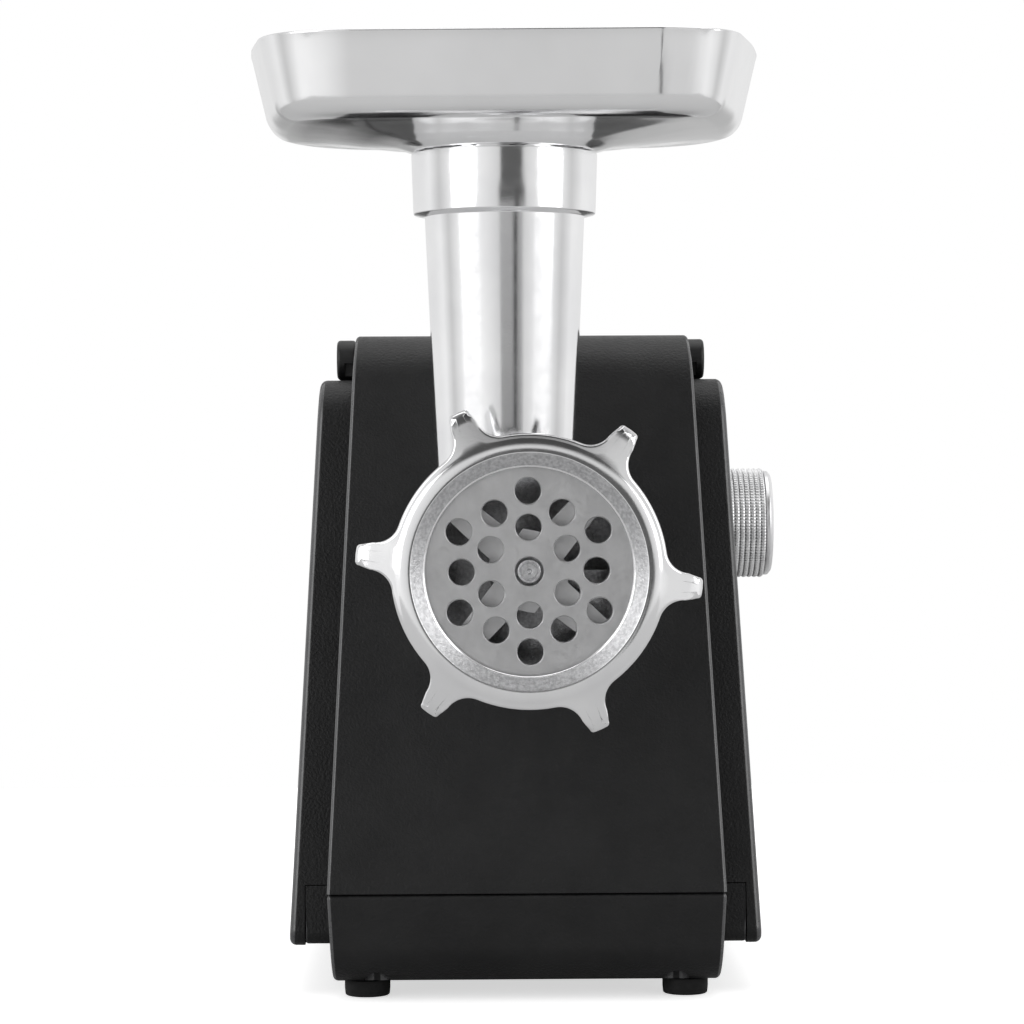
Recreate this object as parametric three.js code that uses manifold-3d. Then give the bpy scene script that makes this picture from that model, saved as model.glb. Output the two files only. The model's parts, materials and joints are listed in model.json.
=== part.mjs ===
// Electric meat grinder with a cast grinding head, a feed tray, a folding carrying
// handle and a geared motor. Millimetres, +Z up, front of the machine towards -Y.
import * as THREE from 'three';
import { mergeVertices } from 'three/addons/utils/BufferGeometryUtils.js';
import Module from 'manifold-3d';

const wasm = await Module();
wasm.setup();

// ---------------------------------------------------------------- driving dimensions
const SHIFT_X = -1.3, SHIFT_Y = -135.8, SHIFT_Z = 1;     // brings the bounding box's bottom centre to the origin
const GAP = 0.3;                            // clearance between pieces that touch

const FOOT_Z = -1, FOOT_TOP = 4.5, FOOT_R = 7.75, FOOT_X = 54, FOOT_Y1 = 96, FOOT_Y2 = 262;
const WELL_X = 50.5, WELL_Y1 = 84.3, WELL_Y2 = 274.6;
const BASE_Z = 4.8, PART_Z = 35.6, TOP_Z = 224;      // underside, parting plane, top of the housing
const FRONT_Y = 75, REAR_Y = 288;                     // housing front at the parting plane, and rear
const LEAN = 0.1763;                                  // the front leans back 10 degrees
const BAND_X = 66.9, BAND_T = 0.0485;                 // half width at the parting plane, taper per mm
const COVER_X = 79.9, COVER_T = 0.0505, COVER_SET = 27, COVER_Z0 = 14.8, COVER_Z1 = 209.2;
const WALL = 2.6;

const AX = 0, AZ = 145;                               // auger axis (along Y)
const RING_R = 43.2, RING_OPEN = 32.5, RING_EDGE = 37.4, RING_D = 24, LUG_R = 54.4, LUG_A0 = 54.1;
const PLATE_R = 35, PLATE_T = 7, PLATE_Y = 5.8, HOLE_R = 4.1;
const BOLT_CIRCLES = [[13.8, 30], [21.15, 0], [25.2, 30]];
const TUBE_X = -6.7, TUBE_Y = 50, COLLAR_Z0 = 259.5, COLLAR_Z1 = 279.8;
const BARREL_END = 85.6, STUB_R = 32.6, STUB_END = 114;
const BOSS_Y = 86, BOSS_R = 41;

// plan of the tray rim about the tube axis: [x, y, corner radius]; narrower at the front, bowed sides
const TRAY_PLAN = [[-50, -68.6, 25], [50, -68.6, 25], [73.4, -64.6, 13], [79.8, -24, 160], [82.8, 4, 160], [80.5, 53, 44], [-80.5, 53, 44], [-82.8, 4, 160], [-79.8, -24, 160], [-73.4, -64.6, 13]];
const TRAY_RIM = 311.5, TRAY_YAW = -2;

const KNOB_Y = 190, KNOB_Z = 157.4, KNOB_R = 20, KNOB_X0 = 75.5, KNOB_X1 = 89, KNOB_X2 = 92;
const ARM_Z0 = 209.8, ARM_Z1 = 224, ARM_Y0 = 155.6, PIVOT_Y = 163, GRIP_Y = 262;

const ROCK_Y = 131;
const MOTOR_Z = 85;                                    // armature axis (0, MOTOR_Z) along Y
const IDLER1 = [-10.45, 109.9], IDLER2 = [20, 116.9];
const M_A = 1.0, M_B = 1.25, M_C = 1.5;                // gear modules of the three stages
const T_MOTOR = 9, T_I1 = 45, T_P1 = 10, T_I2 = 40, T_P2 = 10, T_OUT = 36;

// ---------------------------------------------------------------- materials
const mat = (color, roughness, metalness) => new THREE.MeshStandardMaterial({ color, roughness, metalness });
const BLACK = mat(0x1c1c1d, 0.5, 0), RUBBER = mat(0x101010, 0.85, 0), ALU = mat(0xcfd0d2, 0.28, 1);
const CAST = mat(0xc4c5c7, 0.35, 1), STEEL = mat(0xa9abad, 0.35, 1), DARKSTEEL = mat(0x6f7072, 0.5, 1);
const CHROME = mat(0xdadbdd, 0.12, 1), NYLON = mat(0xe6e2d6, 0.5, 0), COPPER = mat(0xb46a3c, 0.4, 1);
const BRASS = mat(0xb08d4a, 0.4, 1), GREY = mat(0x3a3b3d, 0.55, 0), WHITE = mat(0xdddcd6, 0.55, 0);

// ---------------------------------------------------------------- helpers
const group = new THREE.Group();

function signedVolume(p, idx) {
  let v = 0;
  for (let i = 0; i < idx.length; i += 3) {
    const a = idx[i] * 3, b = idx[i + 1] * 3, c = idx[i + 2] * 3;
    v += p[a] * (p[b + 1] * p[c + 2] - p[b + 2] * p[c + 1])
       - p[a + 1] * (p[b] * p[c + 2] - p[b + 2] * p[c])
       + p[a + 2] * (p[b] * p[c + 1] - p[b + 1] * p[c]);
  }
  return v / 6;
}

function clean(geo) {
  const g = geo.clone();
  g.deleteAttribute('normal');
  g.deleteAttribute('uv');
  const m = mergeVertices(g, 1e-4);
  const idx = Array.from(m.index.array), p = m.attributes.position.array, out = [];
  for (let i = 0; i < idx.length; i += 3) {
    const [a, b, c] = [idx[i], idx[i + 1], idx[i + 2]];
    if (a !== b && b !== c && a !== c) out.push(a, b, c);
  }
  if (signedVolume(p, out) < 0) for (let i = 0; i < out.length; i += 3) [out[i], out[i + 1]] = [out[i + 1], out[i]];
  m.setIndex(out);
  return m;
}

function solid(geo) {
  const g = clean(geo);
  return new wasm.Manifold(new wasm.Mesh({
    numProp: 3,
    vertProperties: new Float32Array(g.attributes.position.array),
    triVerts: new Uint32Array(g.index.array),
  }));
}

function toGeo(man) {
  const m = man.getMesh();
  const g = new THREE.BufferGeometry();
  g.setAttribute('position', new THREE.BufferAttribute(new Float32Array(m.vertProperties), 3));
  g.setIndex(new THREE.BufferAttribute(new Uint32Array(m.triVerts), 1));
  g.computeVertexNormals();
  return g;
}

function add(name, shape, material) {
  const geo = shape.isBufferGeometry ? clean(shape) : toGeo(shape);
  geo.computeVertexNormals();
  const mesh = new THREE.Mesh(geo, material);
  mesh.name = name;
  group.add(mesh);
  return mesh;
}

const shapeOf = (pts, holes = []) => {
  const s = new THREE.Shape(pts.map(([a, b]) => new THREE.Vector2(a, b)));
  for (const h of holes) s.holes.push(new THREE.Path(h.map(([a, b]) => new THREE.Vector2(a, b))));
  return s;
};
const circle = (cx, cy, r, n = 16, a0 = 0) =>
  Array.from({ length: n }, (_, i) => [cx + r * Math.cos(a0 + i * 2 * Math.PI / n), cy + r * Math.sin(a0 + i * 2 * Math.PI / n)]);
const extrude = (pts, holes, d) => new THREE.ExtrudeGeometry(shapeOf(pts, holes), { depth: d, bevelEnabled: false, curveSegments: 12 });

// outline in (y, z), extruded along x between two tapering faces f0(z) and f1(z)
function prismX(pts, f0, f1, holes = []) {
  const g = extrude(pts, holes, 1), p = g.attributes.position;
  const a = typeof f0 === 'number' ? () => f0 : f0, b = typeof f1 === 'number' ? () => f1 : f1;
  for (let i = 0; i < p.count; i++) {
    const y = p.getX(i), z = p.getY(i), t = p.getZ(i);
    p.setXYZ(i, a(z) + (b(z) - a(z)) * t, y, z);
  }
  return g;
}
// outline in (x, z), extruded along y
function prismY(pts, y0, y1, holes = []) {
  const g = extrude(pts, holes, y1 - y0), p = g.attributes.position;
  for (let i = 0; i < p.count; i++) p.setXYZ(i, p.getX(i), y1 - p.getZ(i), p.getY(i));
  return g;
}
// outline in (x, y), extruded along z
function prismZ(pts, z0, z1, holes = []) {
  return extrude(pts, holes, z1 - z0).translate(0, 0, z0);
}
const box = (x0, x1, y0, y1, z0, z1) =>
  new THREE.BoxGeometry(x1 - x0, y1 - y0, z1 - z0).translate((x0 + x1) / 2, (y0 + y1) / 2, (z0 + z1) / 2);

// turned bodies: profile is a list of [radius, station]; ring profiles close on themselves
function turned(profile, n, axis, cx, cy, cz) {
  const pts = profile.map(([r, h]) => new THREE.Vector2(Math.max(r, 0), h));
  if (profile[0][0] > 1e-6) pts.push(pts[0].clone());
  const g = new THREE.LatheGeometry(pts, n);
  if (axis === 'z') g.rotateX(Math.PI / 2);
  if (axis === 'x') g.rotateZ(-Math.PI / 2);
  return g.translate(cx, cy, cz);
}
const turnY = (profile, n, x, z) => turned(profile, n, 'y', x, 0, z);
const turnZ = (profile, n, x, y) => turned(profile, n, 'z', x, y, 0);
const turnX = (profile, n, y, z) => turned(profile, n, 'x', 0, y, z);
const rodY = (r, y0, y1, n, x, z) => turnY([[0, y0], [r, y0], [r, y1], [0, y1]], n, x, z);
const rodZ = (r, z0, z1, n, x, y) => turnZ([[0, z0], [r, z0], [r, z1], [0, z1]], n, x, y);
const rodX = (r, x0, x1, n, y, z) => turnX([[0, x0], [r, x0], [r, x1], [0, x1]], n, y, z);
const tubeY = (r0, r1, y0, y1, n, x, z) => turnY([[r0, y0], [r1, y0], [r1, y1], [r0, y1]], n, x, z);

const union = (...g) => g.map(x => x.isBufferGeometry ? solid(x) : x).reduce((a, b) => a.add(b));
const cut = (a, ...tools) => tools.reduce((m, t) => m.subtract(t.isBufferGeometry ? solid(t) : t), a.isBufferGeometry ? solid(a) : a);

// polygon with rounded corners: corners are [y, z, radius]
function rounded(corners, seg = 5) {
  const out = [], n = corners.length;
  for (let i = 0; i < n; i++) {
    const [x, y, r] = corners[i], [px, py] = corners[(i + n - 1) % n], [nx, ny] = corners[(i + 1) % n];
    if (!r) { out.push([x, y]); continue; }
    const l1 = Math.hypot(px - x, py - y), l2 = Math.hypot(nx - x, ny - y);
    const d1 = [(px - x) / l1, (py - y) / l1], d2 = [(nx - x) / l2, (ny - y) / l2];
    const ang = Math.acos(Math.min(1, Math.max(-1, d1[0] * d2[0] + d1[1] * d2[1])));
    const t = r / Math.tan(ang / 2), bis = [d1[0] + d2[0], d1[1] + d2[1]], bl = Math.hypot(...bis);
    const c = [x + bis[0] / bl * r / Math.sin(ang / 2), y + bis[1] / bl * r / Math.sin(ang / 2)];
    const a0 = Math.atan2(y + d1[1] * t - c[1], x + d1[0] * t - c[0]);
    let a1 = Math.atan2(y + d2[1] * t - c[1], x + d2[0] * t - c[0]);
    while (a1 - a0 > Math.PI) a1 -= 2 * Math.PI;
    while (a1 - a0 < -Math.PI) a1 += 2 * Math.PI;
    for (let k = 0; k <= seg; k++) out.push([c[0] + r * Math.cos(a0 + (a1 - a0) * k / seg), c[1] + r * Math.sin(a0 + (a1 - a0) * k / seg)]);
  }
  return out;
}
// the same polygon with every edge moved inwards by t (corners given counter-clockwise)
function inset(corners, t) {
  const n = corners.length, lines = [];
  for (let i = 0; i < n; i++) {
    const [ax, ay] = corners[i], [bx, by] = corners[(i + 1) % n];
    const l = Math.hypot(bx - ax, by - ay), d = [(bx - ax) / l, (by - ay) / l], nn = [-d[1], d[0]];
    lines.push([[ax + nn[0] * t, ay + nn[1] * t], d]);
  }
  return corners.map(([, , r], i) => {
    const [p, d] = lines[(i + n - 1) % n], [q, e] = lines[i];
    const det = d[0] * e[1] - d[1] * e[0], s = ((q[0] - p[0]) * e[1] - (q[1] - p[1]) * e[0]) / det;
    return [p[0] + d[0] * s, p[1] + d[1] * s, r ? Math.max(r - t, 1) : 0];
  });
}

const bandX = z => BAND_X - BAND_T * (z - PART_Z);
const coverX = z => COVER_X - COVER_T * (z - 33);
const frontY = z => FRONT_Y + LEAN * (z - PART_Z);

// ---------------------------------------------------------------- housing
const BAND = [[FRONT_Y, PART_Z, 0], [REAR_Y, PART_Z, 0], [286, 172, 22], [238, TOP_Z, 26], [frontY(TOP_Z), TOP_Z, 26]];
{
  const outer = prismX(rounded(BAND), z => -bandX(z), bandX);
  const room = [...inset(BAND, WALL)];
  room[0][1] = room[1][1] = PART_Z - 1;
  const inner = prismX(rounded(room), z => -(bandX(z) - WALL), z => bandX(z) - WALL);
  let h = cut(union(outer, rodY(BOSS_R, BOSS_Y, 115, 30, AX, AZ)), inner);
  h = h.add(solid(tubeY(38.1, BOSS_R, BOSS_Y, 115, 30, AX, AZ)));
  h = cut(h, rodY(38.1, 80, 125, 30, AX, AZ));
  h = cut(h, box(-4.2, 4.2, 106.8, 116, 175, 188));                     // latch bolt passage
  // cage under the release button with the spring seat, and the two ears of the rocker pin
  h = union(h, cut(box(-12.6, 12.6, 144, 160, 203.9, 222), box(-11, 11, 140, 170, 205.3, 230), rodZ(3.3, 190, 210, 8, 0, 152)));
  for (const s of [-1, 1]) h = union(h, cut(box(s * 7 - 1.3, s * 7 + 1.3, ROCK_Y - 4, ROCK_Y + 4, 196.4, 222), rodX(2.3, -12, 12, 10, ROCK_Y, 200)));
  h = cut(h, box(-11, 11, 141, 163, 215, 230));                         // button opening
  h = cut(h, rodX(3.2, -80, 80, 12, PIVOT_Y, 217));                     // handle pivots
  h = cut(h, rodX(5.6, 40, 80, 14, KNOB_Y, KNOB_Z));                    // switch shaft
  h = cut(h, rodY(8.2, 275, 300, 14, -30, 62));                         // cord inlet
  for (let i = 0; i < 6; i++) h = cut(h, box(-33, 33, 270, 300, 96 + i * 9, 100 + i * 9)); // rear air slots
  add('upper_housing', h, BLACK);
}

// side covers: outer skins that stand proud of the housing and hide its seams
const COVER = [
  [frontY(COVER_Z0) + COVER_SET, COVER_Z0, 5], [285, COVER_Z0, 6], [281, 166, 20], [240, COVER_Z1, 22],
  [frontY(COVER_Z1) + COVER_SET, COVER_Z1, 18]];
for (const s of [-1, 1]) {
  const f = z => s * (bandX(z) + GAP), o = z => s * coverX(z);
  let c = solid(prismX(rounded(COVER), s > 0 ? f : o, s > 0 ? o : f));
  const lower = s > 0 ? box(50, 75.5, 60, 320, 0, PART_Z) : box(-75.5, -50, 60, 320, 0, PART_Z);
  c = cut(c, lower);
  const room = inset(COVER, WALL);
  room[0] = [frontY(PART_Z + WALL) + COVER_SET + WALL, PART_Z + WALL, 0];
  room[1] = [282, PART_Z + WALL, 0];
  const g = z => s * (bandX(z) - 3), q = z => s * (coverX(z) - WALL);
  c = cut(c, prismX(rounded(room), s > 0 ? g : q, s > 0 ? q : g));
  if (s > 0) c = cut(c, rodX(5.6, 40, 90, 14, KNOB_Y, KNOB_Z));
  add(s < 0 ? 'left_side_cover' : 'right_side_cover', c, BLACK);
}

// base: a tub under the housing with a wing on each side that the covers wrap
{
  const top = PART_Z - GAP;
  const B = [[FRONT_Y + 1.5, BASE_Z, 14], [284, BASE_Z, 12], [REAR_Y, top, 0], [FRONT_Y, top, 0]];
  const taper = z => BAND_X - 1.7 * Math.max(0, (top - z) / (top - BASE_Z));
  const tub = solid(prismX(rounded(B, 6), z => -taper(z), taper));
  let b = tub;
  const W = [[frontY(15.4) + COVER_SET, 15.4, 4], [281, 15.4, 4], [283, top, 0], [frontY(top) + COVER_SET, top, 0]];
  b = union(b, prismX(rounded(W, 3), -75.2, 75.2));
  const R = inset(B, WALL); R[2][1] = R[3][1] = PART_Z + 5;
  b = cut(b, prismX(rounded(R, 5), -(BAND_X - 1.7 - WALL), BAND_X - 1.7 - WALL));
  for (const s of [-1, 1]) {
    const r = [[102.5, 18, 2], [278, 18, 2], [280, 40, 0], [106, 40, 0]];
    b = cut(b, s > 0 ? prismX(rounded(r, 2), BAND_X + 0.4, 72.8) : prismX(rounded(r, 2), -72.8, -BAND_X - 0.4));
  }
  for (let i = 0; i < 5; i++) b = cut(b, box(-26, 26, 196 + i * 11, 201 + i * 11, 0, 12));       // air slots
  for (const x of [-WELL_X, WELL_X]) for (const y of [WELL_Y1, WELL_Y2])
    b = cut(b.add(solid(rodZ(6.2, 5, 33, 12, x, y)).intersect(tub)), rodZ(4.1, 0, 17, 14, x, y), rodZ(1.9, 5, 40, 8, x, y));
  add('base_casing', b, BLACK);
}
{
  let n = 0;
  for (const [fy, where] of [[FOOT_Y1, 'front'], [FOOT_Y2, 'rear']]) for (const [sx, side] of [[-1, 'left'], [1, 'right']]) {
    add(`foot_${where}_${side}`, turnZ([[0, FOOT_Z], [FOOT_R - 0.8, FOOT_Z], [FOOT_R, FOOT_Z + 0.9], [FOOT_R, FOOT_TOP], [0, FOOT_TOP]], 20, sx * FOOT_X, fy), RUBBER);
    n++;
  }
  for (const [wy, where] of [[WELL_Y1, 'front'], [WELL_Y2, 'rear']]) for (const [sx, side] of [[-1, 'left'], [1, 'right']])
    add(`base_screw_${where}_${side}`, turnZ([[0, 14.2], [3.4, 14.2], [3.6, 14.8], [3.6, 16.6], [1.5, 16.6], [1.5, 31], [0, 31]], 10, sx * WELL_X, wy), STEEL);
}

// carrying handle: a bail with flat arms in the shoulders beside the housing top
{
  const xi = bandX(217) + 0.8, xo = xi + 6.9;
  const A = [[ARM_Y0, ARM_Z0, 7], [GRIP_Y - 6, ARM_Z0, 8], [GRIP_Y + 9, ARM_Z0 + 1.5, 6], [GRIP_Y + 9, ARM_Z1 - 1, 6], [GRIP_Y - 8, ARM_Z1, 8], [ARM_Y0, ARM_Z1, 7]];
  let h = union(prismX(rounded(A, 5), xi, xo), prismX(rounded(A, 5), -xo, -xi));
  const grip = prismX(rounded([[GRIP_Y - 8, ARM_Z0 + 1, 5], [GRIP_Y + 8.6, ARM_Z0 + 2, 5], [GRIP_Y + 8.6, ARM_Z1 - 1.4, 5], [GRIP_Y - 8, ARM_Z1 - 0.4, 5]], 3), -xo + 1, xo - 1);
  h = union(h, grip);
  h = cut(h, rodX(3.3, -80, 80, 12, PIVOT_Y, 217));
  add('carry_handle', h, BLACK);
  for (const s of [-1, 1]) {
    const p = turnX([[0, s * 50], [3, s * 50], [3, s * (xo - 2.2)], [0, s * (xo - 2.2)]], 12, PIVOT_Y, 217);
    add(s < 0 ? 'handle_pivot_left' : 'handle_pivot_right', p, STEEL);
  }
}

// rotary switch on the right-hand side
{
  const flutes = [];
  for (let i = 0; i < 36; i++) for (const [d, r] of [[0, KNOB_R], [0.5, KNOB_R - 0.45]]) {
    const a = (i + d) * Math.PI / 18;
    flutes.push([KNOB_Y + r * Math.cos(a), KNOB_Z + r * Math.sin(a)]);
  }
  const g = prismX(flutes, KNOB_X0, KNOB_X1);
  add('knob_grip', cut(g, rodX(4.2, KNOB_X0 - 1, KNOB_X0 + 11, 12, KNOB_Y, KNOB_Z)), CHROME);
  add('knob_bezel', turnX([[0, KNOB_X1 + GAP], [KNOB_R - 0.9, KNOB_X1 + GAP], [KNOB_R - 0.9, KNOB_X2 - 1.2], [KNOB_R - 2.2, KNOB_X2], [0, KNOB_X2 - 0.4]], 36, KNOB_Y, KNOB_Z), CHROME);
  add('knob_shaft', rodX(3.9, 46, KNOB_X0 + 10.6, 12, KNOB_Y, KNOB_Z), NYLON);
  add('switch_module', cut(union(box(22, 45.6, 172, 208, 141, 174), box(45, 49, 177, 203, 146, 169)), rodX(4.2, 40, 60, 12, KNOB_Y, KNOB_Z)), WHITE);
}

// release button, rocker and latch bolt that hold the head in its socket
{
  add('release_button', union(box(-10.4, 10.4, 141.6, 162.4, 217, TOP_Z + 3), rodZ(2.6, 203.6, 218, 10, 0, 152)), GREY);
  const coil = [];
  const turns = 4, per = 8;
  for (let i = 0; i <= turns * per; i++) {
    const a = i * 2 * Math.PI / per;
    coil.push(new THREE.Vector3(5 * Math.cos(a), 152 + 5 * Math.sin(a), 206.2 + 9.4 * i / (turns * per)));
  }
  const wire = new THREE.Shape(circle(0, 0, 0.55, 4).map(([x, y]) => new THREE.Vector2(x, y)));
  add('button_spring', new THREE.ExtrudeGeometry(wire, { steps: turns * per, extrudePath: new THREE.CatmullRomCurve3(coil), bevelEnabled: false }), STEEL);
  // rocker turns about X at (ROCK_Y, 200): the button presses the rear end, the front end lifts the bolt
  const R = rounded([[110, 196.2, 1.5], [152.5, 196.2, 1.5], [154.5, 202.6, 1.5], [146, 203, 1.5], [ROCK_Y + 5, 205, 3], [ROCK_Y - 5, 205, 3], [110, 200.6, 1.5]], 1);
  add('latch_rocker', cut(prismX(R, -4, 4), rodX(2.3, -10, 10, 10, ROCK_Y, 200)), GREY);
  add('rocker_pin', rodX(2, -9, 9, 10, ROCK_Y, 200), STEEL);
  add('latch_bolt', union(box(-3.5, 3.5, 107.4, 112.4, AZ + STUB_R - 3.4, 190.5), box(-7, 7, 107.4, 113.4, 189, 191.5),
    box(5.2, 7, 109.9, 113.4, 189, 204.6), box(-7, -5.2, 109.9, 113.4, 189, 204.6), box(-7, 7, 109.9, 113.4, 202.2, 204.6)), STEEL);
}

// socket, gear case and cord inlet
{
  let s = solid(tubeY(STUB_R + 0.5, 37.8, BOSS_Y + 0.4, 117, 30, AX, AZ));
  s = cut(s, box(-4.2, 4.2, 106.8, 113.2, 170, 190));
  s = cut(s, box(-60, 60, 117, 130, 100, 190));
  add('head_socket', s, CAST);
  let g = solid(prismY(rounded([[-40, 74, 8], [52, 74, 8], [52, 182, 8], [-40, 182, 8]], 3), 119, 160));
  g = cut(g, box(-37, 49, 122, 170, 77, 179));
  g = union(g, rodY(15, 117.4, 123, 20, AX, AZ));
  for (const [x, z] of [IDLER1, IDLER2]) g = union(g, rodY(7, 121, 124, 12, x, z));
  g = cut(g, rodY(12.1, 100, 130, 18, AX, AZ), rodY(3.2, 110, 130, 10, ...IDLER1), rodY(3.2, 110, 130, 10, ...IDLER2));
  add('gearbox_housing', g, CAST);
  let c = solid(prismY(rounded([[-40, 74, 8], [52, 74, 8], [52, 182, 8], [-40, 182, 8]], 3), 160.3, 163.3));
  c = cut(c, rodY(9, 150, 180, 16, 0, MOTOR_Z), rodY(3.2, 150, 170, 10, ...IDLER1), rodY(3.2, 150, 170, 10, ...IDLER2));
  add('gearbox_cover', c, CAST);
  add('output_bush', turnY([[8.4, 117.8], [11.8, 117.8], [11.8, 127], [8.4, 127]], 18, AX, AZ), BRASS);
  add('idler_shaft_1', rodY(2.9, 119.6, 162.8, 10, ...IDLER1), STEEL);
  add('idler_shaft_2', rodY(2.9, 119.6, 162.8, 10, ...IDLER2), STEEL);
  add('cord_gland', turnY([[3.6, 279], [7.9, 279], [7.9, 289], [10.5, 289], [10.5, 292], [3.6, 292]], 18, -30, 62), RUBBER);
}

// gears: straight teeth with backlash; phase is the angle of a tooth centre
function gearOutline(n, m, phase) {
  const rp = n * m / 2, ra = rp + 0.82 * m, rf = rp - 1.12 * m, w = Math.PI / n, out = [];
  for (let i = 0; i < n; i++) {
    const a = phase + i * 2 * w;
    for (const [r, d] of [[rf, -0.66], [ra, -0.22], [ra, 0.22], [rf, 0.66]]) out.push([r * Math.cos(a + d * w), r * Math.sin(a + d * w)]);
  }
  return out;
}
const gear = (n, m, phase, y0, y1, [x, z], bore) =>
  prismY(gearOutline(n, m, phase).map(([a, b]) => [a + x, b + z]), y0, y1, [circle(x, z, bore, bore > 5 ? 20 : 10)]);
{
  const OUT = [AX, AZ], MOT = [0, MOTOR_Z];
  const dir = (p, q) => Math.atan2(q[1] - p[1], q[0] - p[0]);
  const pMot = dir(MOT, IDLER1), pI1 = dir(IDLER1, MOT) + Math.PI / T_I1;
  const pP1 = dir(IDLER1, IDLER2), pI2 = dir(IDLER2, IDLER1) + Math.PI / T_I2;
  const pP2 = dir(IDLER2, OUT), pOut = dir(OUT, IDLER2) + Math.PI / T_OUT;
  add('motor_pinion', gear(T_MOTOR, M_A, pMot, 147, 158.5, MOT, 2.6), STEEL);
  add('idler_gear_1', union(gear(T_I1, M_A, pI1, 149, 156, IDLER1, 3.2), gear(T_P1, M_B, pP1, 136.5, 149.5, IDLER1, 3.2)), STEEL);
  add('idler_gear_2', union(gear(T_I2, M_B, pI2, 138, 146, IDLER2, 3.2), gear(T_P2, M_C, pP2, 125, 138.5, IDLER2, 3.2)), STEEL);
  add('output_gear', gear(T_OUT, M_C, pOut, 127.4, 136, OUT, 8.25), STEEL);
  const hex = circle(AX, AZ, 7.6, 6);
  add('output_shaft', union(rodY(8, 108, 136.5, 20, AX, AZ), prismY(hex, 94, 109)), STEEL);
}

// motor
{
  let s = solid(prismY(rounded([[-37, 49, 12], [37, 49, 12], [37, 121, 12], [-37, 121, 12]], 3), 186, 222));
  s = cut(s, rodY(19.6, 180, 230, 28, 0, MOTOR_Z), box(-30, -12, 180, 230, MOTOR_Z - 17, MOTOR_Z + 17), box(12, 30, 180, 230, MOTOR_Z - 17, MOTOR_Z + 17));
  add('motor_stator', s, DARKSTEEL);
  for (const k of [-1, 1]) {
    let c = solid(box(k < 0 ? -29.4 : 20.4, k < 0 ? -20.4 : 29.4, 181, 227, MOTOR_Z - 16.2, MOTOR_Z + 16.2));
    c = cut(c, rodY(20.4, 170, 240, 24, 0, MOTOR_Z));
    add(k < 0 ? 'field_coil_left' : 'field_coil_right', c, COPPER);
  }
  let f = solid(prismY(rounded([[-36, 50, 10], [36, 50, 10], [36, 120, 10], [-36, 120, 10]], 3), 168.4, 171));
  f = union(f, rodY(13, 166, 171, 16, 0, MOTOR_Z));
  for (const sx of [-1, 1]) for (const sz of [-1, 1]) f = union(f, rodY(3.2, 170.5, 185.6, 8, sx * 31, MOTOR_Z + sz * 27));
  for (const sx of [-1, 1]) f = cut(f, box(sx * 22 - 5, sx * 22 + 5, 160, 180, MOTOR_Z - 9, MOTOR_Z + 9));
  add('motor_bracket_front', cut(f, rodY(9.7, 160, 180, 14, 0, MOTOR_Z)), DARKSTEEL);
  let r = solid(prismY(rounded([[-36, 50, 10], [36, 50, 10], [36, 120, 10], [-36, 120, 10]], 3), 262, 264.6));
  r = union(r, rodY(12, 262, 267, 16, 0, MOTOR_Z));
  for (const sx of [-1, 1]) for (const sz of [-1, 1]) r = union(r, rodY(3.2, 222.4, 263, 8, sx * 31, MOTOR_Z + sz * 27));
  for (const sz of [-1, 1]) r = cut(r, box(-10, 10, 250, 270, MOTOR_Z + sz * 23 - 5, MOTOR_Z + sz * 23 + 5));
  add('motor_bracket_rear', cut(r, rodY(8.7, 255, 270, 14, 0, MOTOR_Z)), DARKSTEEL);
  add('motor_bearing_front', tubeY(4.3, 9.3, 166.2, 170.8, 14, 0, MOTOR_Z), STEEL);
  add('motor_bearing_rear', tubeY(3.3, 8.3, 262.2, 266.8, 14, 0, MOTOR_Z), STEEL);
  const core = [];
  for (let i = 0; i < 12; i++) for (const [rr, d] of [[19, -0.42], [19, 0.42], [12, 0.5]]) {
    const a = (i + d) * Math.PI / 6;
    core.push([rr * Math.cos(a), MOTOR_Z + rr * Math.sin(a)]);
  }
  add('armature_core', prismY(core, 186, 222, [circle(0, MOTOR_Z, 4.3, 12)]), DARKSTEEL);
  add('armature_shaft', turnY([[0, 147.4], [2.4, 147.4], [2.4, 158.9], [4, 158.9], [4, 258], [3.1, 258], [3.1, 266], [0, 266]], 14, 0, MOTOR_Z), STEEL);
  const comm = [];
  for (let i = 0; i < 16; i++) for (const [rr, d] of [[10.5, -0.4], [10.5, 0.4], [9.7, 0.5]]) {
    const a = (i + d) * Math.PI / 8;
    comm.push([rr * Math.cos(a), MOTOR_Z + rr * Math.sin(a)]);
  }
  add('commutator', prismY(comm, 238, 252, [circle(0, MOTOR_Z, 4.3, 12)]), COPPER);
  let fan = solid(rodY(9, 174, 181, 16, 0, MOTOR_Z));
  fan = union(fan, rodY(24, 174, 175.2, 24, 0, MOTOR_Z));
  for (let i = 0; i < 8; i++) {
    const a = i * Math.PI / 4, c = Math.cos(a), s2 = Math.sin(a), q = [[7, -0.7], [23.6, -0.7], [23.6, 0.7], [7, 0.7]];
    fan = union(fan, prismY(q.map(([u, v]) => [u * c - v * s2, MOTOR_Z + u * s2 + v * c]), 174.6, 180));
  }
  add('cooling_fan', cut(fan, rodY(4.3, 170, 190, 12, 0, MOTOR_Z)), WHITE);
  for (const k of [-1, 1]) {
    const a = k < 0 ? -27 : 11, b = k < 0 ? -11 : 27;
    add(k < 0 ? 'brush_holder_left' : 'brush_holder_right', box(a, b, 241, 249, MOTOR_Z - 4, MOTOR_Z + 4), BRASS);
  }
}

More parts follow.
